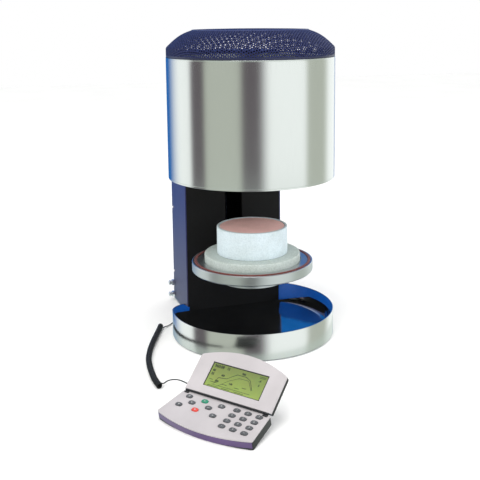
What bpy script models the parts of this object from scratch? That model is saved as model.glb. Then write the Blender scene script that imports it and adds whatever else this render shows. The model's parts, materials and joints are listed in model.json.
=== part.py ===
"""Porcelain kiln with an elevator table, an open column and a corded control handset.

Lengths are metres. The kiln stands on Z = 0, its front faces -Y and its chamber axis is vertical.
"""
from math import asin, cos, pi, radians, sin, tan

import bmesh
import bpy
import numpy as np
from mathutils import Matrix, Vector

GAP = 0.0003                   # between pieces that touch
RUN = 0.0005                   # between a rod and its bore
ROUND_STEPS = 64               # facets of the outer turned pieces
INNER_STEPS = 36               # facets of the pieces inside the head
SMALL_STEPS = 24               # facets of rods, knobs and fittings

# kiln head
CASING_RADIUS = 0.145
CASING_WALL = 0.0015
CASING_BOTTOM = 0.285
CASING_TOP = 0.492
CAP_BAND = 0.016
CAP_HEIGHT = 0.047
CAP_SLOPE = 0.045              # how far the slope runs in from the casing's radius
CAP_TOP_RADIUS = CASING_RADIUS - CAP_SLOPE
CAP_WALL = 0.0012
MOUTH_RADIUS = 0.0935
VESSEL_SPACE = 0.017           # cooling air between the casing and the vessel
VESSEL_RADIUS = CASING_RADIUS - VESSEL_SPACE
VESSEL_WALL = 0.0015
HEAD_SPACE = 0.042             # between the vessel and the cap
VESSEL_HEIGHT = CASING_TOP - CASING_BOTTOM - HEAD_SPACE
FLANGE = 0.0022
CHAMBER_ROOF = 0.025           # insulation and sheet above the chamber
CHAMBER_HEIGHT = VESSEL_HEIGHT - CHAMBER_ROOF
COIL_WIRE = 0.004
COIL_TURNS = 5
COIL_BOTTOM = 0.022            # above the chamber mouth
COIL_HEADROOM = 0.013          # below the chamber roof

# base
BASE_INSET = 0.001             # from the casing's radius
BASE_RADIUS = CASING_RADIUS - BASE_INSET
BASE_WALL = 0.002
BASE_RIM = 0.046
BASE_CORNER = 0.006            # at the right end of the band
BASE_SWEEP = (0.028, 0.098, 0.030)   # the left end drops from here, to here, at this height
BASE_SWEEP_ROUNDS = (0.09, 0.012)
FOOT_HEIGHT = 0.002
FOOT_RADIUS = 0.011
PLATE_THICKNESS = 0.003
DISH_FLOOR = 0.0085
DISH_WALL_TOP = 0.03
DISH_SHEET = 0.0015
DISH_COVE = 0.019
DISH_FALL = (0.05, 0.0105)     # where the pan's edge starts to fall towards the column, and to what height

# column
COLUMN_LAP = 0.035             # how far the head reaches over the column
COLUMN_FRONT = CASING_RADIUS - COLUMN_LAP   # its front plane, behind the chamber axis
COLUMN_HALF = 0.094
COLUMN_DEPTH = 0.115
COLUMN_SHEET = 0.002
COLUMN_CORNER = 0.006
COLUMN_RISE = 0.005            # of the column above the casing
COLUMN_TOP = CASING_TOP + COLUMN_RISE
SLOT_HALF = 0.0165
SLOT_ROOM = (0.0067, 0.0275)   # below the lift arm at rest, above it when the chamber is closed
SLOT_CORNER = 0.006
LOUVRES = 9
LOUVRE_DROP = 0.137            # from the column's top to the lowest louvre
LOUVRE_PITCH = 0.009
LOUVRE_SIZE = (0.1, 0.004)
LOUVRE_CORNER = 0.0018

# lift
TABLE_TOP = 0.133
TABLE_LAP = 0.014              # of the table past the chamber mouth
TABLE_RADIUS = MOUTH_RADIUS + TABLE_LAP
TABLE_RIM = 0.0175
TABLE_CHAMFER = 0.002
BOSS_RADIUS = 0.058
BOSS_HEIGHT = 0.0195
SEAL_INSET = 0.0065            # from the table's edge
SEAL_RADIUS = TABLE_RADIUS - SEAL_INSET
SEAL_WIDTH = 0.005
SEAL_DEPTH = 0.003
SEAL_PROUD = 0.0012
TRAVEL = CASING_BOTTOM - TABLE_TOP - SEAL_PROUD
DISC_PLAY = 0.0085             # to the chamber mouth, all round
DISC_RADIUS = MOUTH_RADIUS - DISC_PLAY
DISC_PROUD = 0.0136            # above the table
DISC_TOP = TABLE_TOP + DISC_PROUD
DISC_SINK = 0.0027
PEDESTAL_RADIUS = 0.0626
PEDESTAL_HEIGHT = 0.0484
PEDESTAL_TOP = DISC_TOP + PEDESTAL_HEIGHT
TRAY_INSET = 0.0051            # from the pedestal's edge
TRAY_RADIUS = PEDESTAL_RADIUS - TRAY_INSET
TRAY_THICKNESS = 0.006
ROD_SETBACK = 0.05             # from the column's back
ROD_PLACE = COLUMN_FRONT + COLUMN_DEPTH - ROD_SETBACK
ROD_SPREAD = 0.042
ROD_RADIUS = 0.005
SCREW_RADIUS = 0.006
FRAME_LOW = 0.014
FRAME_SHEET = 0.003
CARRIAGE_HEIGHT = 0.034
CARRIAGE_HALF = 0.056
CARRIAGE_DEPTH = 0.032
ARM_SEAT = TABLE_TOP - TABLE_RIM - BOSS_HEIGHT - GAP
CARRIAGE_LOW = ARM_SEAT + GAP
FRAME_HEADROOM = 0.0252        # over the carriage when the chamber is closed
FRAME_HIGH = CARRIAGE_LOW + CARRIAGE_HEIGHT + TRAVEL + FRAME_HEADROOM
ARM_HALF = 0.013
ARM_SHEET = 0.007
ARM_REACH = 0.02               # past the chamber axis
MOTOR_SIDE = 0.042
MOTOR_HEIGHT = 0.038

# fittings on the column
PORT_HEIGHTS = {"vacuum_port_upper": 0.036, "vacuum_port_lower": 0.0125}
PORT_SETBACK = 0.013           # from the column's back
PORT_HEX = 0.0068
PORT_LENGTH = 0.012
INLET_SIZE = (0.05, 0.009, 0.03)
INLET_PLACE = (0.045, 0.04)
INLET_BODY = (0.04, 0.023)
INLET_MOUTH = (0.025, 0.017)
INLET_PLAY = 0.001             # round the body, in the column's back
INLET_LIP = 0.0035
SWITCH_SIZE = (0.022, 0.007, 0.015)
SWITCH_HEIGHT = 0.072

# handset, in its own frame: X along the hinge, Y up the sloping deck to the hinge, Z off the deck
HANDSET_PLACE = (-0.1442, -0.3128, 0.0252)
HANDSET_YAW = radians(-53.0)
DECK_SLOPE = radians(12.0)
HINGE_HALF = 0.0745
FRONT_SPREAD = 0.0065          # the front edge is wider than the hinge edge by this at each end
FRONT_HALF = HINGE_HALF + FRONT_SPREAD
DECK_DEPTH = 0.0544
FRONT_BULGE = 0.0135
BODY_THICKNESS = 0.014
DECK_THICKNESS = 0.002
SHELL_WALL = 0.002
STAND_INSET = 0.0165
STAND_HALF = HINGE_HALF - STAND_INSET
STAND_DEPTH = 0.02
HINGE_RISE = 0.0018
BARREL_RADIUS = 0.0014
BARREL_INSET = 0.0105          # the lugs stand outside the barrel
BARREL_HALF = HINGE_HALF - BARREL_INSET
LUG_WIDTH = 0.0075
LID_OPEN = radians(29.9)       # the lid's rise above the deck when it stands open
LID_SIDE = 0.058
LID_BULGE = 0.0152
LID_CORNER = 0.005
LID_START = 0.0019
BEZEL_THICKNESS = 0.003
BACK_THICKNESS = 0.0055
SCREEN_HALF = 0.0487
SCREEN_LOW = 0.0137
SCREEN_HIGH = 0.0516
SCREEN_SINK = 0.0009

# keys
KEY_SIZE = (0.0108, 0.0069)
KEY_ROUND = 0.0026
KEY_HEIGHT = 0.0013            # above the deck
KEY_TRAVEL = 0.0008
KEY_CLEARANCE = 0.0003
DIGITS = (("1", "2", "3"), ("4", "5", "6"), ("7", "8", "9"), ("dot", "0", "minus"))
DIGIT_FIRST = (0.0252, -0.009)
DIGIT_MARGIN = 0.0088          # from the last row to the deck's depth at its sides
DIGIT_PITCH = (0.0185, (DECK_DEPTH + DIGIT_FIRST[1] - DIGIT_MARGIN) / (len(DIGITS) - 1))
FUNCTION_KEYS = {
    "key_menu": (-0.0576, -0.0099), "key_start": (-0.0292, -0.0106), "key_night": (-0.0001, -0.0105),
    "key_up": (-0.0452, -0.0204), "key_enter": (-0.0156, -0.0206),
    "key_down": (-0.0605, -0.031), "key_stop": (-0.0309, -0.0317), "key_back": (0.0004, -0.0325),
}

# cord
WIRE_RADIUS = 0.00095
CURL_RADIUS = 0.0049           # outer radius of the curly stretch
GLAND_SETBACK = 0.017          # behind the column's front
GLAND_PLACE = (COLUMN_FRONT + GLAND_SETBACK, 0.014)   # behind the chamber axis, above the floor
GLAND_LENGTH = 0.012
GLAND_RADIUS = 0.0045
KILN_ROUTE = [
    (-0.1125, 0.1262, 0.0120), (-0.1150, 0.1215, 0.0066), (-0.1158, 0.1135, 0.0024),
    (-0.1168, 0.1045, 0.0013), (-0.1202, 0.0950, 0.0013), (-0.1262, 0.0850, 0.0013),
    (-0.1340, 0.0757, 0.0014), (-0.1415, 0.0680, 0.0018), (-0.1478, 0.0620, 0.0030),
]
CURL_ROUTE = [
    (-0.1560, 0.0635), (-0.1640, 0.0430), (-0.1785, 0.0080), (-0.1903, -0.0226), (-0.2000, -0.0520),
    (-0.2072, -0.0807), (-0.2112, -0.1110), (-0.2133, -0.1421), (-0.2135, -0.1640), (-0.2118, -0.1850),
]
HANDSET_ROUTE = [
    (-0.2020, -0.1755, 0.0045), (-0.1955, -0.1710, 0.0052), (-0.1880, -0.1715, 0.0060),
    (-0.1815, -0.1765, 0.0070), (-0.1760, -0.1870, 0.0080), (-0.1724, -0.2000, 0.0095),
    (-0.1712, -0.2150, 0.0120), (-0.1722, -0.2300, 0.0146),
]
PLUG_PLACE = (-0.062, -0.0090)  # on the handset's back face: along the hinge, below the deck

COLOURS = {
    "brushed_stainless": ("#B9BDC0", 0.32, 1.0),
    "polished_stainless": ("#C9CCCF", 0.16, 1.0),
    "perforated_sheet": ("#23284F", 0.45, 0.6),
    "navy_enamel": ("#2B3270", 0.38, 0.1),
    "black_enamel": ("#1B1B1D", 0.5, 0.1),
    "zinc_steel": ("#8E9298", 0.4, 1.0),
    "ground_steel": ("#C3C6C9", 0.2, 1.0),
    "black_anodised": ("#202124", 0.45, 0.6),
    "aluminium": ("#BFC2C4", 0.35, 1.0),
    "fibre_board": ("#E9EBE4", 0.95, 0.0),
    "fibre_disc": ("#C9D2C6", 0.95, 0.0),
    "fibre_pedestal": ("#E6F2F4", 0.9, 0.0),
    "tray_ceramic": ("#B98780", 0.85, 0.0),
    "heating_wire": ("#7A6A5C", 0.6, 0.8),
    "silicone_seal": ("#8E3B31", 0.6, 0.0),
    "black_rubber": ("#151515", 0.8, 0.0),
    "chromed_brass": ("#D6D9DC", 0.08, 1.0),
    "violet_shell": ("#4A4068", 0.3, 0.0),
    "white_shell": ("#EBE1E4", 0.35, 0.0),
    "lid_shell": ("#1A1A1C", 0.35, 0.0),
    "screen": ("#A9BB5A", 0.15, 0.0),
    "key_grey": ("#4A4C50", 0.5, 0.0),
    "key_green": ("#28785F", 0.5, 0.0),
    "key_red": ("#C83C32", 0.5, 0.0),
    "black_plastic": ("#161616", 0.45, 0.0),
    "cord_sheath": ("#101010", 0.5, 0.0),
}

COLUMN_BACK = COLUMN_FRONT + COLUMN_DEPTH
BASE_PLATE_LOW = FOOT_HEIGHT + GAP
BASE_PLATE_TOP = BASE_PLATE_LOW + PLATE_THICKNESS


def clear_scene():
    for ob in list(bpy.data.objects):
        bpy.data.objects.remove(ob, do_unlink=True)


def new_collection(name):
    collection = bpy.data.collections.new(name)
    bpy.context.scene.collection.children.link(collection)
    return collection


def linear(channel):
    return channel / 12.92 if channel <= 0.04045 else ((channel + 0.055) / 1.055) ** 2.4


def make_material(name):
    colour, roughness, metallic = COLOURS[name]
    material = bpy.data.materials.new(name)
    material.use_nodes = True
    shader = material.node_tree.nodes["Principled BSDF"]
    rgb = [linear(int(colour[i:i + 2], 16) / 255) for i in (1, 3, 5)]
    shader.inputs["Base Color"].default_value = (*rgb, 1)
    shader.inputs["Roughness"].default_value = roughness
    shader.inputs["Metallic"].default_value = metallic
    return material


def add_empty(name, parent=None, location=(0, 0, 0), rotation=(0, 0, 0)):
    empty = bpy.data.objects.new(name, None)
    empty.parent = parent
    empty.location = location
    empty.rotation_euler = rotation
    kilnParts.objects.link(empty)
    return empty


def put(ob, name, material, parent, location=(0, 0, 0)):
    """Name a finished solid, give it its material and file it under its parent."""
    ob.name = name
    ob.data.name = name
    ob.data.materials.clear()
    ob.data.materials.append(materials[material])
    ob.parent = parent
    ob.location = location
    kilnParts.objects.link(ob)
    return ob


def mesh_object(name, bm):
    mesh = bpy.data.meshes.new(name)
    bm.to_mesh(mesh)
    bm.free()
    return bpy.data.objects.new(name, mesh)


def box(low, high):
    bm = bmesh.new()
    bmesh.ops.create_cube(bm, size=1)
    size = Vector(high) - Vector(low)
    middle = (Vector(high) + Vector(low)) / 2
    bmesh.ops.scale(bm, vec=size, verts=bm.verts)
    bmesh.ops.translate(bm, vec=middle, verts=bm.verts)
    return mesh_object("box", bm)


def rod(radius, start, end, steps=SMALL_STEPS):
    """Cylinder between two points."""
    start, end = Vector(start), Vector(end)
    bm = bmesh.new()
    bmesh.ops.create_cone(bm, cap_ends=True, segments=steps, radius1=radius, radius2=radius,
                          depth=(end - start).length)
    turn = Vector((0, 0, 1)).rotation_difference(end - start).to_matrix()
    bmesh.ops.rotate(bm, matrix=turn, verts=bm.verts)
    bmesh.ops.translate(bm, vec=(start + end) / 2, verts=bm.verts)
    return mesh_object("rod", bm)


def turned(profile, steps=ROUND_STEPS, closed=False):
    """Solid of revolution about Z; the profile runs down its outer side."""
    mesh = bpy.data.meshes.new("turned")
    count = len(profile)
    edges = [(i, i + 1) for i in range(count - 1)]
    if closed:
        edges.append((count - 1, 0))
    mesh.from_pydata([(r, 0, z) for r, z in profile], edges, [])
    ob = bpy.data.objects.new("turned", mesh)
    screw = ob.modifiers.new("turn", "SCREW")
    screw.steps = screw.render_steps = steps
    screw.use_merge_vertices = True
    screw.merge_threshold = 0.00001
    screw.use_smooth_shade = False
    return ob


def ring_profile(inner, outer, low, high):
    return [(outer, high), (outer, low), (inner, low), (inner, high)]


def rounded(corners, steps=4):
    """Outline through (x, y, radius) corners, each with its arc."""
    points = []
    for i, (x, y, radius) in enumerate(corners):
        here = Vector((x, y))
        if radius == 0:
            points.append(here)
            continue
        back = (Vector(corners[i - 1][:2]) - here).normalized()
        ahead = (Vector(corners[(i + 1) % len(corners)][:2]) - here).normalized()
        half = back.angle(ahead) / 2
        centre = here + (back + ahead).normalized() * radius / sin(half)
        first = here + back * radius / tan(half) - centre
        last = here + ahead * radius / tan(half) - centre
        sweep = first.angle_signed(last)
        for k in range(steps + 1):
            arm = first.copy()
            arm.rotate(Matrix.Rotation(-sweep * k / steps, 2))
            points.append(centre + arm)
    return points


def slab(outlines, low, high):
    """Flat outlines given thickness along Z, as one mesh."""
    curve = bpy.data.curves.new("slab", "CURVE")
    curve.dimensions = "2D"
    curve.fill_mode = "BOTH"
    curve.extrude = (high - low) / 2
    for outline in outlines:
        spline = curve.splines.new("POLY")
        spline.points.add(len(outline) - 1)
        for point, (x, y) in zip(spline.points, outline):
            point.co = (x, y, 0, 1)
        spline.use_cyclic_u = True
    return curve_to_mesh(curve, (0, 0, (low + high) / 2))


def curve_to_mesh(curve, shift=(0, 0, 0)):
    """Freeze a curve as a welded mesh."""
    holder = bpy.data.objects.new("curve", curve)
    kilnParts.objects.link(holder)
    depsgraph = bpy.context.evaluated_depsgraph_get()
    mesh = bpy.data.meshes.new_from_object(holder.evaluated_get(depsgraph))
    bpy.data.objects.remove(holder)
    bm = bmesh.new()
    bm.from_mesh(mesh)
    bmesh.ops.remove_doubles(bm, verts=bm.verts, dist=0.00001)
    bmesh.ops.translate(bm, vec=shift, verts=bm.verts)
    bmesh.ops.recalc_face_normals(bm, faces=bm.faces)
    bm.to_mesh(mesh)
    bm.free()
    return bpy.data.objects.new("frozen", mesh)


def upright(ob):
    """Stand an XY slab up so that its X runs along world Y and its Y along world Z."""
    ob.data.transform(Matrix(((0, 0, 1, 0), (1, 0, 0, 0), (0, 1, 0, 0), (0, 0, 0, 1))))
    return ob


def facing_back(ob):
    """Stand an XY slab up so that its thickness runs along world Y."""
    ob.data.transform(Matrix(((1, 0, 0, 0), (0, 0, -1, 0), (0, 1, 0, 0), (0, 0, 0, 1))))
    return ob


def cut(ob, cutter, operation="DIFFERENCE"):
    """Boolean with a hidden guide that shares the part's parent."""
    cutter.name = ob.name + "_guide"
    cutter.parent = ob.parent
    cutter.location = ob.location
    cutter.hide_render = True
    cutter.display_type = "WIRE"
    cutters.objects.link(cutter)
    boolean = ob.modifiers.new("cut", "BOOLEAN")
    boolean.operation = operation
    boolean.solver = "EXACT"
    boolean.object = cutter
    return ob


def bevel(ob, width, segments=1, angle=40):
    modifier = ob.modifiers.new("edges", "BEVEL")
    modifier.width = width
    modifier.segments = segments
    modifier.limit_method = "ANGLE"
    modifier.angle_limit = radians(angle)
    return ob


def smooth(ob, angle=30):
    ob.data.shade_smooth()
    ob.data.set_sharp_from_angle(angle=radians(angle))
    return ob


def tube(points, radius, resolution=2, cyclic=False):
    curve = bpy.data.curves.new("tube", "CURVE")
    curve.dimensions = "3D"
    curve.bevel_depth = radius
    curve.bevel_resolution = resolution
    curve.use_fill_caps = True
    spline = curve.splines.new("POLY")
    spline.points.add(len(points) - 1)
    spline.use_cyclic_u = cyclic
    for point, co in zip(spline.points, points):
        point.co = (*co, 1)
    return curve_to_mesh(curve)


def smooth_route(points, spacing):
    """Evenly spaced points on a smooth curve through a route."""
    pts = np.array(points)
    ends = np.vstack([2 * pts[0] - pts[1], pts, 2 * pts[-1] - pts[-2]])
    fine = []
    for i in range(1, len(ends) - 2):
        a, b, c, d = ends[i - 1:i + 3]
        for t in np.linspace(0, 1, 24, endpoint=False):
            fine.append(0.5 * (2 * b + (c - a) * t + (2 * a - 5 * b + 4 * c - d) * t ** 2
                               + (3 * b - a - 3 * c + d) * t ** 3))
    fine = np.array(fine + [pts[-1]])
    along = np.append(0, np.cumsum(np.linalg.norm(np.diff(fine, axis=0), axis=1)))
    places = np.linspace(0, along[-1], int(along[-1] / spacing) + 2)
    return [tuple(np.interp(places, along, fine[:, k])[i] for k in range(3)) for i in range(len(places))]


# ---- kiln head ----

def make_casing(root):
    profile = ring_profile(CASING_RADIUS - CASING_WALL, CASING_RADIUS, CASING_BOTTOM, CASING_TOP)
    put(turned(profile, closed=True), "casing_shell", "brushed_stainless", root)


def cap_profile():
    """Upright band, then a slightly convex slope to a crowned top."""
    low = CASING_TOP + GAP
    band = low + CAP_BAND
    top = low + CAP_HEIGHT
    slope = 4
    outer = [(CASING_RADIUS - 0.0005, low)]
    for i in range(slope + 1):
        t = i / slope
        radius = CASING_RADIUS - 0.0005 - (CASING_RADIUS - CAP_TOP_RADIUS) * t
        outer.append((radius, band + (top - band - 0.002) * (t + 0.16 * sin(pi * t))))
    outer.append((CAP_TOP_RADIUS * 0.86, top - 0.0006))
    outer.append((CAP_TOP_RADIUS * 0.5, top))
    outer.append((0, top))
    return outer


def make_cap(root):
    outer = cap_profile()
    inner = [(max(r - CAP_WALL, 0), z - CAP_WALL * (r < CASING_RADIUS - 0.004)) for r, z in outer]
    inner[0] = (outer[0][0] - CAP_WALL, outer[0][1])
    put(turned(outer[::-1] + inner), "vent_cap", "perforated_sheet", root)


def make_vessel(root):
    """Can round the insulation, with a flange that closes the casing from below."""
    low = CASING_BOTTOM + 0.0005
    high = low + VESSEL_HEIGHT
    outer = VESSEL_RADIUS
    inner = outer - VESSEL_WALL
    rim = CASING_RADIUS - CASING_WALL - GAP
    profile = [(0, high), (outer, high), (outer, low + FLANGE), (rim, low + FLANGE), (rim, low),
               (MOUTH_RADIUS, low), (MOUTH_RADIUS, low + FLANGE), (inner, low + FLANGE),
               (inner, high - VESSEL_WALL), (0, high - VESSEL_WALL)]
    put(turned(profile, INNER_STEPS), "furnace_vessel", "zinc_steel", root)


def make_insulation(root):
    low = CASING_BOTTOM + 0.0005 + FLANGE + GAP
    high = CASING_BOTTOM + 0.0005 + VESSEL_HEIGHT - VESSEL_WALL - GAP
    outer = VESSEL_RADIUS - VESSEL_WALL - GAP
    roof = CASING_BOTTOM + CHAMBER_HEIGHT
    profile = [(0, high), (outer, high), (outer, low), (MOUTH_RADIUS + 0.0005, low),
               (MOUTH_RADIUS + 0.0005, roof - 0.012), (MOUTH_RADIUS - 0.0115, roof), (0, roof)]
    put(turned(profile, INNER_STEPS), "insulation_block", "fibre_board", root)


def make_heating(root):
    radius = MOUTH_RADIUS + 0.0005 - COIL_WIRE / 2 - GAP * 2
    pitch = (CHAMBER_HEIGHT - COIL_BOTTOM - COIL_HEADROOM) / COIL_TURNS
    points = []
    per_turn = 16
    for i in range(COIL_TURNS * per_turn + 1):
        turn = i / per_turn
        height = CASING_BOTTOM + COIL_BOTTOM + pitch * turn
        points.append((radius * cos(2 * pi * turn), radius * sin(2 * pi * turn), height))
    coil = tube(points, COIL_WIRE / 2, 0)
    put(smooth(coil), "heating_coil", "heating_wire", root)


# ---- base ----

def make_ring(root):
    """C-shaped band whose free ends meet the column; the left end sweeps down to clear the hoses."""
    profile = ring_profile(BASE_RADIUS - BASE_WALL, BASE_RADIUS, FOOT_HEIGHT, BASE_RIM)
    ring = put(turned(profile, 80, closed=True), "base_ring", "brushed_stainless", root)
    reach = BASE_RADIUS + 0.01
    end = COLUMN_FRONT - GAP
    top = BASE_RIM + 0.01
    fall, shoulder, height = BASE_SWEEP
    wide, small = BASE_SWEEP_ROUNDS
    left = rounded([(fall, BASE_RIM, wide), (shoulder, height, small), (end, height - small, 0), (end, 0, 0),
                    (reach, 0, 0), (reach, top, 0), (fall - 0.04, top, 0), (fall - 0.04, BASE_RIM, 0)], 6)
    right = rounded([(end - 0.02, BASE_RIM, 0), (end, BASE_RIM, BASE_CORNER), (end, 0, 0),
                     (reach, 0, 0), (reach, top, 0), (end - 0.02, top, 0)], 4)
    cut(ring, upright(slab([left], -reach, 0)))
    cut(ring, upright(slab([right], 0, reach)))


def make_base_plate(root):
    """Floor plate: a disc within the ring, squared off at the back under the column."""
    radius = BASE_RADIUS - BASE_WALL - GAP
    start = asin((COLUMN_FRONT - GAP) / radius)
    count = 48
    arc = [-pi - start + (pi + 2 * start) * i / count for i in range(count + 1)]
    outline = [Vector((radius * cos(a), radius * sin(a))) for a in arc]
    outline += rounded([(COLUMN_HALF, COLUMN_FRONT + GAP, 0), (COLUMN_HALF, COLUMN_BACK, COLUMN_CORNER),
                        (-COLUMN_HALF, COLUMN_BACK, COLUMN_CORNER), (-COLUMN_HALF, COLUMN_FRONT + GAP, 0)])
    plate = slab([outline], BASE_PLATE_LOW, BASE_PLATE_TOP)
    put(plate, "base_plate", "zinc_steel", root)


def make_dish(root):
    """Polished pan inside the ring: nearly flat floor, coved edge."""
    edge = BASE_RADIUS - BASE_WALL - GAP
    cove = 4
    radius = DISH_COVE
    upper = [(0, DISH_FLOOR), (edge - 0.045, DISH_FLOOR + 0.0012)]
    for i in range(cove + 1):
        a = radians(8) + radians(82) * i / cove
        across = edge - DISH_SHEET - radius + radius * sin(a)
        upper.append((across, DISH_FLOOR + 0.0022 + radius * (1 - cos(a))))
    upper.append((edge - DISH_SHEET, DISH_WALL_TOP))
    lower = [(edge, DISH_WALL_TOP), (edge, DISH_FLOOR + 0.012), (edge - 0.016, DISH_FLOOR - DISH_SHEET * 1.2),
             (0, DISH_FLOOR - DISH_SHEET * 1.2)]
    dish = put(turned(upper + lower), "base_dish", "polished_stainless", root)
    reach = BASE_RADIUS + 0.01
    end = COLUMN_FRONT - GAP
    fall, low = DISH_FALL
    behind = [(fall, DISH_WALL_TOP + 0.001), (end, low), (end, 0), (reach, 0), (reach, 0.1), (fall, 0.1)]
    cut(dish, upright(slab([behind], -reach, reach)))


def make_feet(root):
    across = COLUMN_HALF - 0.02
    back = COLUMN_BACK - 0.02
    for name, x, y in (("foot_front_left", -across, -0.08), ("foot_front_right", across, -0.08),
                       ("foot_back_left", -across, back), ("foot_back_right", across, back)):
        foot = rod(FOOT_RADIUS, (0, 0, 0), (0, 0, FOOT_HEIGHT), 20)
        put(foot, name, "black_rubber", root, (x, y, 0))


# ---- column ----

def head_guide(clearance, low, high):
    """Cylinder that clears the kiln head."""
    return rod(CASING_RADIUS + clearance, (0, 0, low), (0, 0, high), ROUND_STEPS)


def make_column_cover(root):
    """Folded sheet: two sides, back and roof, hollowed from one rounded block."""
    low = BASE_PLATE_TOP + GAP
    front = COLUMN_FRONT + 0.0005
    block = rounded([(-COLUMN_HALF, front, 0), (COLUMN_HALF, front, 0),
                     (COLUMN_HALF, COLUMN_BACK, COLUMN_CORNER), (-COLUMN_HALF, COLUMN_BACK, COLUMN_CORNER)])
    cover = put(slab([block], low, COLUMN_TOP), "column_cover", "navy_enamel", root)
    inside = COLUMN_HALF - COLUMN_SHEET
    back = COLUMN_BACK - COLUMN_SHEET
    hollow = rounded([(-inside, front - 0.02, 0), (inside, front - 0.02, 0),
                      (inside, back, COLUMN_CORNER - COLUMN_SHEET), (-inside, back, COLUMN_CORNER - COLUMN_SHEET)])
    cut(cover, slab([hollow], low - 0.01, COLUMN_TOP - COLUMN_SHEET))
    cut(cover, head_guide(0.001, CASING_BOTTOM - 0.002, COLUMN_TOP + 0.01))
    side = LOUVRE_SIZE[0] / 2
    r = LOUVRE_CORNER
    slots = []
    for i in range(LOUVRES):
        bottom = COLUMN_TOP - LOUVRE_DROP + LOUVRE_PITCH * i
        top = bottom + LOUVRE_SIZE[1]
        slots.append(rounded([(-side, bottom, r), (side, bottom, r), (side, top, r), (-side, top, r)], 2))
    cut(cover, facing_back(slab(slots, -COLUMN_BACK - 0.01, -back + 0.01)))
    x, z = INLET_PLACE
    near, far = back - 0.01, COLUMN_BACK + 0.01
    half = INLET_BODY[0] / 2 + INLET_PLAY
    reach = INLET_BODY[1] / 2 + INLET_PLAY
    cut(cover, box((x - half, near, z - reach), (x + half, far, z + reach)))
    half = SWITCH_SIZE[0] / 2
    reach = SWITCH_SIZE[2] / 2 + RUN
    cut(cover, box((x - half, near, SWITCH_HEIGHT - reach), (x + half, far, SWITCH_HEIGHT + reach)))
    y, z = GLAND_PLACE
    cut(cover, rod(0.003, (-COLUMN_HALF - 0.01, y, z), (-COLUMN_HALF + 0.01, y, z), 12))


def make_column_front(root):
    """Black front panel with the slot that the lift arm runs in."""
    inside = COLUMN_HALF - COLUMN_SHEET - GAP
    panel = box((-inside, COLUMN_FRONT, BASE_PLATE_TOP + GAP),
                (inside, COLUMN_FRONT + COLUMN_SHEET, CASING_BOTTOM - 0.0025))
    put(panel, "column_front", "black_enamel", root)
    low = ARM_SEAT - ARM_SHEET - SLOT_ROOM[0]
    high = ARM_SEAT + TRAVEL + SLOT_ROOM[1]
    r = SLOT_CORNER
    slot = rounded([(-SLOT_HALF, low, r), (SLOT_HALF, low, r), (SLOT_HALF, high, r), (-SLOT_HALF, high, r)], 3)
    cut(panel, facing_back(slab([slot], -COLUMN_FRONT - 0.02, -COLUMN_FRONT + 0.02)))


def make_ports(root):
    """Two chromed hose fittings on the column's left side."""
    y = COLUMN_BACK - PORT_SETBACK
    face = -COLUMN_HALF - GAP
    for name, z in PORT_HEIGHTS.items():
        nut = rod(PORT_HEX, (0, 0, 0), (-PORT_LENGTH * 0.55, 0, 0), 6)
        port = put(bevel(nut, 0.0006), name, "chromed_brass", root, (face, y, z))
        neck = rod(PORT_HEX * 0.62, (-0.002, 0, 0), (-PORT_LENGTH, 0, 0), 16)
        cut(port, neck, "UNION")


def make_power(root):
    """Appliance inlet with a rocker switch above it, on the column's back."""
    x, z = INLET_PLACE
    w, d, h = INLET_SIZE
    face = COLUMN_BACK + GAP
    inlet = put(bevel(box((-w / 2, 0, -h / 2), (w / 2, INLET_LIP, h / 2)), 0.001), "power_inlet",
                "black_plastic", root, (x, face, z))
    w, h = (size / 2 for size in INLET_BODY)
    cut(inlet, box((-w, -d, -h), (w, 0.001, h)), "UNION")
    w, h = (size / 2 for size in INLET_MOUTH)
    cut(inlet, box((-w, -d + 0.003, -h), (w, d, h)))
    half = SWITCH_SIZE[0] / 2 - RUN
    axis = add_empty("rocker_axis", root, (x, face, SWITCH_HEIGHT))
    rocker = rod(SWITCH_SIZE[2] / 2 - RUN, (-half, 0, 0), (half, 0, 0), 8)
    rocker.data.transform(Matrix.Diagonal((1, SWITCH_SIZE[1] / SWITCH_SIZE[2], 1, 1)))
    put(rocker, "power_switch", "black_plastic", axis)


# ---- lift ----

def make_lift_frame(root):
    """C-shaped steel bracket that holds the rods, the screw and the motor."""
    back = COLUMN_BACK - COLUMN_SHEET - 0.012
    front = ROD_PLACE - 0.018
    t = FRAME_SHEET
    outline = [(front, FRAME_LOW), (back, FRAME_LOW), (back, FRAME_HIGH), (front, FRAME_HIGH),
               (front, FRAME_HIGH - t), (back - t, FRAME_HIGH - t),
               (back - t, FRAME_LOW + t), (front, FRAME_LOW + t)]
    half = ROD_SPREAD + 0.02
    put(upright(slab([[Vector(p) for p in outline]], -half, half)), "lift_frame", "black_enamel", root)
    low = FRAME_LOW + t + GAP
    high = FRAME_HIGH - t - GAP
    for name, x in (("guide_rod_left", -ROD_SPREAD), ("guide_rod_right", ROD_SPREAD)):
        guide = rod(ROD_RADIUS, (0, 0, 0), (0, 0, high - low), 20)
        put(guide, name, "ground_steel", root, (x, ROD_PLACE, low))
    axis = add_empty("screw_axis", root, (0, ROD_PLACE, low))
    screw = rod(SCREW_RADIUS, (0, 0, 0), (0, 0, high - low), 20)
    put(screw, "lead_screw", "ground_steel", axis)
    side = MOTOR_SIDE / 2
    motor = box((-side, -side, 0), (side, side, MOTOR_HEIGHT))
    put(bevel(motor, 0.003, 2), "lift_motor", "black_anodised", root, (0, ROD_PLACE, FRAME_HIGH + GAP))


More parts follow.
